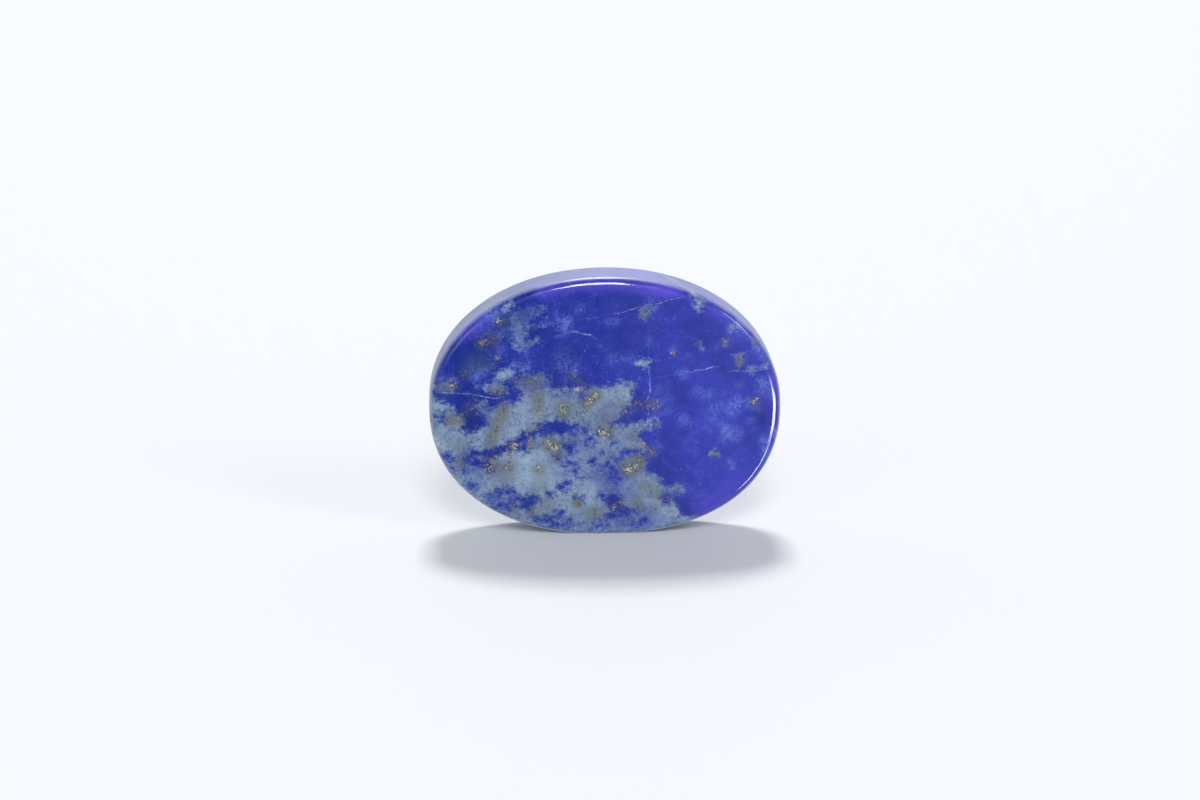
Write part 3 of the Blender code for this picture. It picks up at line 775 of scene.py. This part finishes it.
DULL_SWARMS = (
    ((-11.1, -0.8, 0.16), (-10.7, -0.75, 0.20), (-10.35, -0.75, 0.14)),
    ((-1.45, 0.3, 0.20), (-1.1, 0.6, 0.18), (-0.7, 0.95, 0.22)),
    ((-3.1, -0.3, 0.22), (-2.85, 0.15, 0.20)),
    ((-4.75, 0.2, 0.16), (-4.75, 0.85, 0.18)),
    ((-7.25, 0.05, 0.20), (-7.4, -0.5, 0.18)),
    ((-7.72, -0.8, 0.10), (-7.66, -1.5, 0.14), (-8.0, -1.7, 0.12), (-8.26, -2.3, 0.12)),
    ((-7.78, 1.19, 0.18), (-7.43, 1.28, 0.14)),
    ((-9.1, 0.9, 0.12),),
    ((-9.6, -0.05, 0.16),),
    ((-8.8, 4.75, 0.14), (-8.4, 4.7, 0.16)),
    ((-7.9, 5.1, 0.20),),
    ((-9.97, 2.61, 0.13),),
    ((-5.2, -1.33, 0.09), (-4.75, -1.33, 0.09)),
    ((-5.4, -1.95, 0.12), (-5.4, -2.6, 0.12)),
    ((-5.53, -3.2, 0.10),),
    ((-3.5, -3.7, 0.16),),
    ((-1.95, -6.95, 0.20),),
    ((-5.35, -7.47, 0.12),),
    ((-6.6, -7.05, 0.15),),
    ((-1.0, -7.75, 0.20), (-0.7, -7.6, 0.12)),
    ((-10.3, -3.87, 0.18),),
    ((-8.9, -3.7, 0.12),),
    ((2.5, -3.55, 0.16), (2.7, -3.85, 0.16)),
    ((3.0, -5.85, 0.08), (3.3, -6.1, 0.16)),
    ((2.2, -6.8, 0.20), (2.4, -7.2, 0.12)),
    ((3.5, -7.4, 0.12),),
    ((2.1, -2.1, 0.12),),
    ((-2.35, 2.4, 0.12),),
    ((-5.6, 1.95, 0.12), (-4.85, 2.2, 0.12)),
    ((7.8, -3.42, 0.10),),
    ((8.55, 4.75, 0.12),),
    ((9.5, 3.4, 0.12),),
    ((2.75, 6.75, 0.12),),
    ((10.7, 4.58, 0.10),),
    ((2.3, 0.25, 0.14), (3.2, 0.2, 0.16)),
    ((1.24, 0.25, 0.12),),
    ((-2.4, -0.62, 0.08), (-1.7, -0.62, 0.08)),
    ((0.73, -1.33, 0.10), (0.1, -1.7, 0.18)),
    ((-1.45, 1.52, 0.10),),
    ((-6.8, -2.8, 0.12), (-6.8, -4.0, 0.10)),
    ((-3.3, -2.85, 0.14),),
    ((-8.35, -4.15, 0.12),),
    ((1.3, -4.75, 0.14),),
    ((-1.37, -0.24, 0.10),),
    ((4.3, -6.7, 0.12), (4.7, -6.7, 0.10)),
)

keep_on_skin("bright_pyrite", np.clip(strokes_depth(BRIGHT_SWARMS, DRAWING), -3, 3))
keep_on_skin("dull_pyrite", np.clip(strokes_depth(DULL_SWARMS, DRAWING), -3, 3))
print("pyrite swarms:", len(BRIGHT_SWARMS), "bright,", len(DULL_SWARMS), "dull")

# %% [markdown]
# ## Writing a shader as formulas
# A node tree is a formula drawn as boxes. To keep it readable we write it as a formula again: each helper
# adds one node, joins its inputs, and returns its output socket for the next step.

# %% Helpers that add one node each
lapis = bpy.data.materials.new("polished_lapis")
lapis.use_nodes = True
tree = lapis.node_tree
tree.nodes.clear()


def feed(socket, value):
    """Joins a socket to another node's output, or sets its fixed value."""
    if isinstance(value, bpy.types.NodeSocket):
        tree.links.new(value, socket)
    else:
        socket.default_value = value


def feed_by_name(node, values):
    """Feeds several sockets of a node, each given by its name."""
    for name, value in values.items():
        feed(node.inputs[name], value)


def read_skin(name, output="Fac"):
    """A number or a vector that was kept on the skin."""
    node = tree.nodes.new("ShaderNodeAttribute")
    node.attribute_name = name
    return node.outputs[output]


def calc(operation, *values, clamp=False):
    """One step of arithmetic."""
    node = tree.nodes.new("ShaderNodeMath")
    node.operation = operation
    node.use_clamp = clamp
    for socket, value in zip(node.inputs, values):
        feed(socket, value)
    return node.outputs[0]


def times(first, second, clamp=False):
    """The product of two values."""
    return calc("MULTIPLY", first, second, clamp=clamp)


def total(*values):
    """The sum of any number of values."""
    running = values[0]
    for value in values[1:]:
        running = calc("ADD", running, value)
    return running


def held(value):
    """The value kept between 0 and 1."""
    return calc("ADD", value, 0.0, clamp=True)


def rise(value, low, high, start=0.0, end=1.0):
    """A smooth step: start where the value is under low, end where it is over high."""
    node = tree.nodes.new("ShaderNodeMapRange")
    node.interpolation_type = "SMOOTHSTEP"
    feed_by_name(node, {"Value": value, "From Min": low, "From Max": high, "To Min": start, "To Max": end})
    return node.outputs["Result"]


def blend_colours(amount, first, second):
    """The first colour where the amount is 0 and the second where it is 1."""
    node = tree.nodes.new("ShaderNodeMix")
    node.data_type = "RGBA"
    feed(node.inputs[0], amount)
    feed(node.inputs[6], first)
    feed(node.inputs[7], second)
    return node.outputs[2]


def speckle(where, scale, detail, roughness=0.55, distortion=0.0, output="Fac"):
    """Fractal noise about 0.5, with a scale in bumps per millimetre."""
    node = tree.nodes.new("ShaderNodeTexNoise")
    feed_by_name(node, {"Vector": where, "Scale": scale, "Detail": detail})
    feed_by_name(node, {"Roughness": roughness, "Distortion": distortion})
    return node.outputs[output]


def about_zero(noise, height):
    """Noise moved to swing about zero, and scaled."""
    return times(calc("SUBTRACT", noise, 0.5), height)


def turned(where, degrees, stretch):
    """A place turned so that its first axis runs along the mineral's grain, and stretched along it."""
    node = tree.nodes.new("ShaderNodeMapping")
    node.vector_type = "TEXTURE"
    feed(node.inputs["Vector"], where)
    node.inputs["Rotation"].default_value = (0.0, 0.0, math.radians(degrees))
    node.inputs["Scale"].default_value = stretch
    return node.outputs["Vector"]


place = read_skin("place", "Vector")
print("shader helpers ready, nodes:", len(tree.nodes))

# %% [markdown]
# ## Breaking the edges of the clouds
# Calcite grew between the blue grains, so its edge is feathered at every size and combed along the grain
# of the rock, which rises to the right. We add combed noise and fine noise to the drawn depth before
# cutting it: deep inside a cloud nothing changes, and near its edge the noise decides.

# %% The calcite mask
GRAIN_ANGLE = 27.0
combed_place = turned(place, GRAIN_ANGLE, (1.35, 1.0, 1.2))
combed = speckle(combed_place, 1.2, 5.0, 0.58, 0.3)
feathers = speckle(place, 3.0, 4.0, 0.62)
gritty = speckle(place, 6.0, 3.0, 0.75)
slow = speckle(place, 0.40, 3.0, 0.5)
blotches = speckle(place, 1.5, 4.0, 0.6)

cloud_depth = total(
    read_skin("calcite_depth"),
    about_zero(combed, 1.0),
    about_zero(blotches, 0.6),
    about_zero(feathers, 0.7),
    about_zero(gritty, 0.25),
)
cloud_edge = rise(cloud_depth, -0.32, 0.40)
thinned = times(cloud_edge, calc("SUBTRACT", 1.0, read_skin("thin_calcite")))
pricked = rise(total(feathers, about_zero(gritty, 0.2)), 0.32, 0.52, 0.80, 1.0)
calcite = times(thinned, pricked, clamp=True)
print("calcite mask made")

# %% [markdown]
# ## The colours
# Lazurite is nearly pure blue: almost no red or green comes back from it. The colours below are linear.
# The blue is deeper at the left and brighter at the right, with slow and fine changes on top, and haze,
# pools, green and violet move it where the marks say.

# %% Blue, and what moves it
DEEP_BLUE = (0.0015, 0.015, 0.205, 1.0)
ROYAL_BLUE = (0.036, 0.044, 0.355, 1.0)
# The blue of the pale haze, which also paints the light on the rim.
HAZE_AND_RIM_LIGHT_BLUE = (0.105, 0.155, 0.500, 1.0)
POOL_BLUE = (0.004, 0.012, 0.110, 1.0)
GREEN_BLUE = (0.008, 0.045, 0.230, 1.0)
# The violet of the painted rim glow.
RIM_GLOW_VIOLET = (0.075, 0.055, 0.480, 1.0)

mottle = total(
    read_skin("blue_tone"),
    about_zero(slow, 0.9),
    about_zero(combed, 0.8),
    about_zero(blotches, 0.7),
    about_zero(gritty, 1.1),
)
blue = blend_colours(held(mottle), DEEP_BLUE, ROYAL_BLUE)
pool = times(read_skin("dark_pool"), rise(feathers, 0.3, 0.6, 0.5, 1.2), clamp=True)
blue = blend_colours(pool, blue, POOL_BLUE)
blue = blend_colours(read_skin("greener_blue"), blue, GREEN_BLUE)
haze_texture = rise(total(feathers, about_zero(gritty, 0.5), about_zero(combed, 0.4)), 0.34, 0.66, 0.2, 1.3)
# Pale haze, with painted sheen and bounce light where its marks lie on the rim.
haze_and_rim_light_wisps = times(read_skin("rim_light_and_haze"), haze_texture)
stray_wisps = rise(total(blotches, about_zero(feathers, 0.5), about_zero(slow, 0.8)), 0.56, 0.80, 0.0, 0.18)
blue = blend_colours(calc("MAXIMUM", haze_and_rim_light_wisps, stray_wisps), blue, HAZE_AND_RIM_LIGHT_BLUE)
# Painted glow of the light that comes in through the rim.
blue = blend_colours(read_skin("painted_rim_glow"), blue, RIM_GLOW_VIOLET)
print("blue made")

# %% Calcite
GREY_CALCITE = (0.083, 0.119, 0.225, 1.0)
PALE_CALCITE = (0.252, 0.345, 0.450, 1.0)

paleness = total(
    times(read_skin("pale_core"), 0.45),
    about_zero(combed, 0.7),
    about_zero(blotches, 0.8),
    about_zero(feathers, 0.6),
    about_zero(gritty, 0.55),
    0.28,
)
calcite_colour = blend_colours(held(paleness), GREY_CALCITE, PALE_CALCITE)
rock = blend_colours(calcite, blue, calcite_colour)
print("calcite made")

# %% [markdown]
# ## Pyrite grains
# A Voronoi pattern cuts the stone into cells, and each cell has a random number. In a swarm a cell
# becomes a grain if its number is low enough, so grains crowd the middle and thin out at its edge. The
# same random numbers paint one grain bright and the next dark, a painted glint and painted shade in
# place of lit and turned-away crystal faces. The rock round the grains is stained olive where the marks
# say, and a few pale and dark specks stand alone.

# %% Grains in the swarms
GRAINS_PER_MM = 8.5
GRAIN_CROOKEDNESS = 0.10


def shaken(where, scale, reach):
    """A place moved by noise, so that what is cut there has crooked edges."""
    node = tree.nodes.new("ShaderNodeVectorMath")
    node.operation = "MULTIPLY_ADD"
    feed(node.inputs[0], speckle(where, scale, 2.0, output="Color"))
    node.inputs[1].default_value = (reach, reach, reach)
    feed(node.inputs[2], where)
    return node.outputs["Vector"]


def cells(where, scale):
    """Voronoi cells: the distance to each cell's seed and the cell's random colour."""
    node = tree.nodes.new("ShaderNodeTexVoronoi")
    feed(node.inputs["Vector"], where)
    feed(node.inputs["Scale"], scale)
    return node.outputs["Distance"], node.outputs["Color"]


def channels(colour):
    """The three numbers of a colour."""
    node = tree.nodes.new("ShaderNodeSeparateColor")
    feed(node.inputs[0], colour)
    return node.outputs[0], node.outputs[1], node.outputs[2]


grain_distance, grain_colour = cells(shaken(place, 9.0, GRAIN_CROOKEDNESS), GRAINS_PER_MM)
grain_luck, grain_light, _ = channels(grain_colour)
swarm_noise = total(about_zero(gritty, 0.4), about_zero(feathers, 0.6))
bright_field = total(read_skin("bright_pyrite"), swarm_noise)
dull_field = total(read_skin("dull_pyrite"), swarm_noise)
bright_density = rise(bright_field, -0.20, 0.08, 0.0, 0.95)
dull_density = rise(dull_field, -0.26, 0.14, 0.0, 0.48)
density = calc("MAXIMUM", bright_density, dull_density)
is_grain = calc("GREATER_THAN", density, grain_luck)
pyrite = times(is_grain, rise(grain_distance, 0.45, 0.75, 1.0, 0.0))

# Bronze is the painted shade of a turned-away facet, pale gold a painted glint.
SHADED_FACET_BRONZE = (0.055, 0.050, 0.042, 1.0)
GLINT_GOLD = (0.620, 0.560, 0.430, 1.0)
MIDDLE_GOLD = (0.240, 0.215, 0.155, 1.0)
# How lit each grain is painted from its random number, more in the bright swarms.
painted_facet_light = times(grain_light, total(0.55, times(bright_density, 0.50)))
shaded_grain = blend_colours(rise(painted_facet_light, 0.05, 0.45), SHADED_FACET_BRONZE, MIDDLE_GOLD)
pyrite_colour = blend_colours(rise(painted_facet_light, 0.45, 0.90), shaded_grain, GLINT_GOLD)
stain_noise = total(feathers, about_zero(gritty, 0.5), about_zero(blotches, 0.5))
stain_texture = rise(stain_noise, 0.30, 0.62, 0.45, 1.25)
stain_share = times(stain_texture, rise(calcite, 0.0, 0.8, 0.5, 1.0))
stain = times(read_skin("olive_stain"), stain_share, clamp=True)
OLIVE_STAIN = (0.098, 0.106, 0.098, 1.0)
PALE_SPECK = (0.420, 0.470, 0.620, 1.0)
DARK_SPECK = (0.020, 0.026, 0.090, 1.0)
speck_noise = about_zero(gritty, 0.16)
stained_rock = blend_colours(stain, rock, OLIVE_STAIN)
dark_speck = rise(total(read_skin("dark_speck"), speck_noise), -0.03, 0.09, 0.0, 0.75)
pale_speck = rise(total(read_skin("pale_speck"), speck_noise), 0.0, 0.11, 0.0, 0.42)
stained_rock = blend_colours(dark_speck, stained_rock, DARK_SPECK)
stained_rock = blend_colours(pale_speck, stained_rock, PALE_SPECK)
print("pyrite made")

# %% [markdown]
# ## Hairline veins
# Old cracks healed with calcite are now pale lines, a few hundredths of a millimetre wide, that cross
# blue and cloud alike. Each is a curve through a few listed points. The shader measures how far a
# place is above or beside the curve, lets noise make the line falter, and fades it at both ends.

# %% Veins as curves
# Whether it runs level or upright, half its width in millimetres, its strength, and points on it: across
# and up for a level one, up and across for an upright one
VEINS = (
    ("level", 0.016, 0.14,
     ((-4.4, 6.08), (-3.2, 6.25), (-2.2, 6.33), (-1.2, 6.5), (-0.4, 6.6), (0.2, 6.76))),
    ("level", 0.022, 0.36,
     ((0.1, 6.8), (1.05, 6.84), (1.4, 6.98), (1.9, 7.12), (2.5, 7.33))),
    ("level", 0.020, 0.30,
     ((2.4, 7.3), (3.5, 7.5), (3.9, 7.56), (4.25, 7.7), (5.0, 7.9), (5.8, 7.98))),
    ("level", 0.022, 0.36,
     ((-12.2, 1.27), (-10.75, 1.15), (-9.6, 1.1), (-8.9, 0.97), (-8.3, 0.8), (-6.9, 0.9))),
    ("level", 0.024, 0.22,
     ((-5.3, 1.2), (-4.1, 1.35), (-3.0, 1.4), (-1.8, 1.42))),
    ("level", 0.024, 0.28,
     ((-0.5, 1.3), (0.9, 1.32))),
    ("level", 0.016, 0.14,
     ((3.2, 2.1), (4.2, 2.25), (5.3, 2.42))),
    ("level", 0.022, 0.44,
     ((5.0, 2.36), (5.7, 2.5), (6.2, 2.6), (6.9, 2.72), (7.6, 2.9), (8.3, 2.95))),
    ("level", 0.020, 0.34,
     ((8.6, 2.6), (9.3, 2.62), (10.0, 2.6), (10.5, 2.58), (11.2, 2.7), (12.0, 2.75))),
    ("upright", 0.024, 0.42,
     ((-1.6, 2.93), (-0.36, 3.04), (0.43, 2.95), (1.15, 3.16), (1.94, 3.16), (3.3, 3.0))),
    ("upright", 0.016, 0.12,
     ((3.0, 3.03), (4.7, 3.05), (6.2, 3.0))),
    ("level", 0.040, 0.42,
     ((-2.7, 5.5), (-1.9, 5.5), (-1.6, 5.38), (-1.0, 5.28), (-0.75, 5.07), (-0.4, 4.8))),
    ("upright", 0.018, 0.14,
     ((-5.8, 5.68), (-5.0, 5.6), (-4.5, 5.4), (-3.8, 5.15))),
)
VEIN_REACH = 13.0


def curve_through(value, points):
    """A smooth curve that gives a height for every value, both within the reach on each side of zero."""
    node = tree.nodes.new("ShaderNodeFloatCurve")
    feed(node.inputs["Value"], calc("MULTIPLY_ADD", value, 0.5 / VEIN_REACH, 0.5))
    curve = node.mapping.curves[0]
    for index, (start, height) in enumerate(points):
        spot = (start / VEIN_REACH / 2 + 0.5, height / VEIN_REACH / 2 + 0.5)
        if index < 2:
            curve.points[index].location = spot
        else:
            curve.points.new(*spot)
    node.mapping.extend = "HORIZONTAL"
    node.mapping.update()
    return times(calc("SUBTRACT", node.outputs[0], 0.5), 2 * VEIN_REACH)


def split(where):
    """The three parts of a place."""
    node = tree.nodes.new("ShaderNodeSeparateXYZ")
    feed(node.inputs[0], where)
    return node.outputs


across_stone, up_stone, _ = split(place)
wobble = about_zero(speckle(place, 1.6, 3.0, 0.6), 0.22)
falter = speckle(place, 2.6, 3.0, 0.75)


def vein(direction, width, strength, points):
    """How much of a vein is at each place, from 0 to 1."""
    along, beside = (across_stone, up_stone) if direction == "level" else (up_stone, across_stone)
    off = calc("ABSOLUTE", calc("SUBTRACT", calc("ADD", beside, wobble), curve_through(along, points)))
    line = rise(off, width, 2.6 * width, 1.0, 0.0)
    first, last = points[0][0], points[-1][0]
    ends = times(rise(along, first, first + 0.8), rise(along, last - 0.8, last, 1.0, 0.0))
    faltering = rise(falter, 0.40, 0.64, 0.15 * strength, 1.6 * strength)
    return times(times(line, ends), faltering)


veins = vein(*VEINS[0])
for each in VEINS[1:]:
    veins = calc("MAXIMUM", veins, vein(*each))
VEIN_COLOUR = (0.270, 0.340, 0.560, 1.0)
veined = blend_colours(veins, stained_rock, VEIN_COLOUR)
print("veins:", len(VEINS))

# %% [markdown]
# ## The polish
# Blue, calcite and pyrite take a polish a little differently: the blue shines most, calcite is softer and
# pyrite harder, so roughness follows the minerals, and the pyrite stands a hair above the rest. The wall
# is ground but barely polished, so it is a little frosted. A fresh break is pale and rough.

# %% Put the minerals and the polish together
FRESH_STONE = (0.300, 0.345, 0.440, 1.0)
FROSTED_STONE = (0.420, 0.450, 0.560, 1.0)
POLISHED_ROUGHNESS = 0.07
CALCITE_DULLING = 0.05
PYRITE_DULLING = 0.20
FROST_DULLING = 1.1
FRESH_ROUGHNESS = 0.55
frosted_wall = rise(read_skin("rounding"), 0.64, 0.94, 0.0, 0.30)
frost = times(frosted_wall, rise(blotches, 0.35, 0.65, 0.8, 1.2))
frosted_rock = blend_colours(frost, blend_colours(pyrite, veined, pyrite_colour), FROSTED_STONE)
fresh = times(read_skin("fresh_break"), rise(feathers, 0.36, 0.58, 0.1, 1.0))
surface = blend_colours(fresh, frosted_rock, FRESH_STONE)
metal = times(times(pyrite, 0.45), calc("SUBTRACT", 1.0, fresh), clamp=True)
dulled = total(times(calcite, CALCITE_DULLING), times(pyrite, PYRITE_DULLING), times(frost, FROST_DULLING))
gloss = total(POLISHED_ROUGHNESS, dulled)
rough = calc("MAXIMUM", gloss, times(fresh, FRESH_ROUGHNESS), clamp=True)
relief = total(times(pyrite, 0.5), times(calcite, -0.15), about_zero(gritty, 0.25))
relief = total(relief, times(about_zero(gritty, 1.0), times(fresh, 4.0)))

bump = tree.nodes.new("ShaderNodeBump")
bump.inputs["Strength"].default_value = 0.25
bump.inputs["Distance"].default_value = 0.01 * MM
feed(bump.inputs["Height"], relief)

polish = tree.nodes.new("ShaderNodeBsdfPrincipled")
feed(polish.inputs["Base Color"], surface)
feed(polish.inputs["Metallic"], metal)
feed(polish.inputs["Roughness"], rough)
feed(polish.inputs["Normal"], bump.outputs["Normal"])
polish.inputs["IOR"].default_value = 1.5
output = tree.nodes.new("ShaderNodeOutputMaterial")
feed(output.inputs["Surface"], polish.outputs["BSDF"])
skin.materials.append(lapis)
print("shader nodes:", len(tree.nodes))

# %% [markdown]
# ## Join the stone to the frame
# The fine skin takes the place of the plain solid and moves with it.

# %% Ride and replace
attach(stone, "root")
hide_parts(STONE)
print("the fine skin stands for", STONE)

# %% [markdown]
# ## The table
# A wide pale sheet, so plain that the stone is all there is to look at.

# %% Floor
FLOOR_REACH = 30.0
FLOOR_COLOUR = (0.68, 0.685, 0.70, 1.0)
table = bpy.data.meshes.new("pale_table")
corners = [(FLOOR_REACH * x, FLOOR_REACH * y, 0) for x, y in ((-1, -1), (1, -1), (1, 1), (-1, 1))]
table.from_pydata(corners, [], [(0, 1, 2, 3)])
floor = bpy.data.objects.new("pale_table", table)
bpy.context.scene.collection.objects.link(floor)
paper = bpy.data.materials.new("pale_table")
paper.use_nodes = True
paper_shader = paper.node_tree.nodes["Principled BSDF"]
paper_shader.inputs["Base Color"].default_value = FLOOR_COLOUR
paper_shader.inputs["Roughness"].default_value = 0.65
paper_shader.inputs["Specular IOR Level"].default_value = 0.2
table.materials.append(paper)
floor.visible_glossy = False
print("table laid")

# %% [markdown]
# ## Light
# Polished stone is lit twice: the rock's colour comes from all the light that falls on it, and its shine
# is a mirror image of the lamps. The rim is a rounded bar, so it squeezes a whole lamp into a thin line,
# and where the line lies says where the lamp stands. Two wide strips hang in front, one above the other,
# and give the line at the top. The right-hand lines come from a lamp up at the right and two that stand
# below table height, so the table is left out of what the stone mirrors. A strong lamp high behind the
# stone throws its shadow forward. All are far away, so the table is evenly lit.

# %% Lamps
STONE_MIDDLE = np.array([0.0, LOW.y, FACE_CENTRE[1]])
LAMP_DISTANCE = 6.0
# Name, azimuth, elevation, width and height in degrees as the stone sees them, and brightness
LAMPS = (
    ("upper_strip", 0.3, 40.0, 10.5, 10.0, 24.0),
    ("lower_strip", -0.2, 28.0, 12.5, 10.0, 24.0),
    ("dim_strip", 0.0, 30.0, 24.0, 6.0, 4.5),
    ("back_window", 180.0, 52.0, 10.0, 12.0, 63.0),
    ("right_window", 48.0, 28.0, 8.0, 18.0, 10.0),
    ("left_window", -31.0, 14.0, 8.0, 14.0, 3.5),
    ("low_right_strip", 34.0, -13.0, 34.0, 9.0, 24.0),
    ("low_right_tail", 36.0, -28.0, 9.0, 22.0, 20.0),
)


def direction(azimuth, elevation):
    """A unit vector from the stone: azimuth 0 is straight out of its face and positive is to its right."""
    turn, height = math.radians(azimuth), math.radians(elevation)
    level = math.cos(height)
    return np.array([math.sin(turn) * level, -math.cos(turn) * level, math.sin(height)])


def soft_lamp(name, azimuth, elevation, wide, tall, brightness):
    """A rectangular lamp that faces the stone.

    Its sides are 2 * distance * tan(angle / 2), and its power is pi * area * brightness.
    """
    lamp = bpy.data.lights.new(name, "AREA")
    lamp.shape = "RECTANGLE"
    lamp.size = 2 * LAMP_DISTANCE * math.tan(math.radians(wide / 2))
    lamp.size_y = 2 * LAMP_DISTANCE * math.tan(math.radians(tall / 2))
    lamp.energy = math.pi * lamp.size * lamp.size_y * brightness
    holder = bpy.data.objects.new(name, lamp)
    toward = direction(azimuth, elevation)
    holder.location = STONE_MIDDLE + LAMP_DISTANCE * toward
    holder.rotation_euler = Vector(toward).to_track_quat("Z", "Y").to_euler()
    holder.visible_camera = False
    bpy.context.scene.collection.objects.link(holder)


for lamp_row in LAMPS:
    soft_lamp(*lamp_row)

print("lamps:", len(LAMPS))

# %% [markdown]
# ## The room around the stone
# The room is brightest low down and behind the stone, and it is dim below the horizon in front, which is
# where the polished face looks. So the face stays deep and the wall shines, as a stone does on a pale sheet
# with a dark lens before it. The room is a formula of direction: one curve of height for the front half and
# one for the back, mixed across the middle.

# %% The room around
DIM_FRONT = 0.32
PALE_HORIZON = 1.03
DARK_ZENITH = 0.20
ROOM_COLOUR = (0.92, 0.98, 1.05, 1.0)
# Height of the direction, from straight down at 0 to straight up at 1, and how bright the room is there
FRONT_CURVE = (
    (0.0, 0.80), (0.20, 0.80), (0.30, DIM_FRONT), (0.475, DIM_FRONT), (0.50, 0.80), (0.65, 0.85),
    (0.75, 0.40), (0.85, DARK_ZENITH), (1.0, DARK_ZENITH),
)
BACK_CURVE = (
    (0.0, PALE_HORIZON), (0.66, PALE_HORIZON), (0.78, 0.45), (0.88, DARK_ZENITH), (1.0, DARK_ZENITH),
)
TURNOVER = 0.25

room = bpy.data.worlds.new("white_room")
room.use_nodes = True
sky = room.node_tree
backdrop = sky.nodes["Background"]
backdrop.inputs["Color"].default_value = ROOM_COLOUR
looking = sky.nodes.new("ShaderNodeTexCoord")
parts = sky.nodes.new("ShaderNodeSeparateXYZ")
sky.links.new(looking.outputs["Generated"], parts.inputs[0])
lift = sky.nodes.new("ShaderNodeMath")
lift.operation = "MULTIPLY_ADD"
lift.inputs[1].default_value = 0.5
lift.inputs[2].default_value = 0.5
sky.links.new(parts.outputs["Z"], lift.inputs[0])


def brightness_curve(spots):
    """Brightness as straight stretches between the given spots of height."""
    node = sky.nodes.new("ShaderNodeFloatCurve")
    sky.links.new(lift.outputs[0], node.inputs["Value"])
    curve = node.mapping.curves[0]
    curve.points[0].location, curve.points[1].location = spots[0], spots[-1]
    for spot in spots[1:-1]:
        curve.points.new(*spot)
    for point in curve.points:
        point.handle_type = "VECTOR"
    node.mapping.update()
    return node.outputs[0]


turn_round = sky.nodes.new("ShaderNodeMapRange")
turn_round.inputs["From Min"].default_value = -TURNOVER
turn_round.inputs["From Max"].default_value = TURNOVER
sky.links.new(parts.outputs["Y"], turn_round.inputs["Value"])
room_light = sky.nodes.new("ShaderNodeMix")
sky.links.new(turn_round.outputs["Result"], room_light.inputs["Factor"])
sky.links.new(brightness_curve(FRONT_CURVE), room_light.inputs["A"])
sky.links.new(brightness_curve(BACK_CURVE), room_light.inputs["B"])
sky.links.new(room_light.outputs["Result"], backdrop.inputs["Strength"])
bpy.context.scene.world = room
print("room curves:", len(FRONT_CURVE), "and", len(BACK_CURVE), "spots")

# %% [markdown]
# ## Camera
# A long lens, a little above the face and a hair to the left, so that the top of the wall shows as a
# pale band and the left of it as a thin one.

# %% Camera
FRAME_WIDTH_PIXELS = 1200
SENSOR_WIDTH = 36.0
VIEW_DISTANCE = 300.0 * MM
VIEW_AZIMUTH = -2.2
VIEW_ELEVATION = 12.5
PIXELS_PER_MM = 14.08
FACE_CENTRE_PIXEL = (605.3, 407.9)
FRAME_CENTRE_PIXEL = (600.0, 400.0)

camera = bpy.data.objects.new("camera", bpy.data.cameras.new("camera"))
toward_camera = Vector(direction(VIEW_AZIMUTH, VIEW_ELEVATION))
turn_to_stone = toward_camera.to_track_quat("Z", "Y")
right_of_view = turn_to_stone @ Vector((1, 0, 0))
up_of_view = turn_to_stone @ Vector((0, 1, 0))
shift_right = (FRAME_CENTRE_PIXEL[0] - FACE_CENTRE_PIXEL[0]) / PIXELS_PER_MM * MM
shift_up = (FACE_CENTRE_PIXEL[1] - FRAME_CENTRE_PIXEL[1]) / PIXELS_PER_MM * MM
aim_point = Vector(STONE_MIDDLE) + right_of_view * shift_right + up_of_view * shift_up
camera.location = aim_point + toward_camera * VIEW_DISTANCE
camera.rotation_euler = turn_to_stone.to_euler()
camera.data.sensor_width = SENSOR_WIDTH
camera.data.lens = PIXELS_PER_MM / MM * VIEW_DISTANCE * SENSOR_WIDTH / FRAME_WIDTH_PIXELS
camera.data.clip_start = 0.01
bpy.context.scene.collection.objects.link(camera)
bpy.context.scene.camera = camera
bpy.context.scene.view_settings.view_transform = "Standard"
print("lens in mm:", round(camera.data.lens, 1))

# %% [markdown]
# ## Bring the scene up to date
# The fine skin must be the size of the solid.

# %% Bring the scene up to date
bpy.context.view_layer.update()
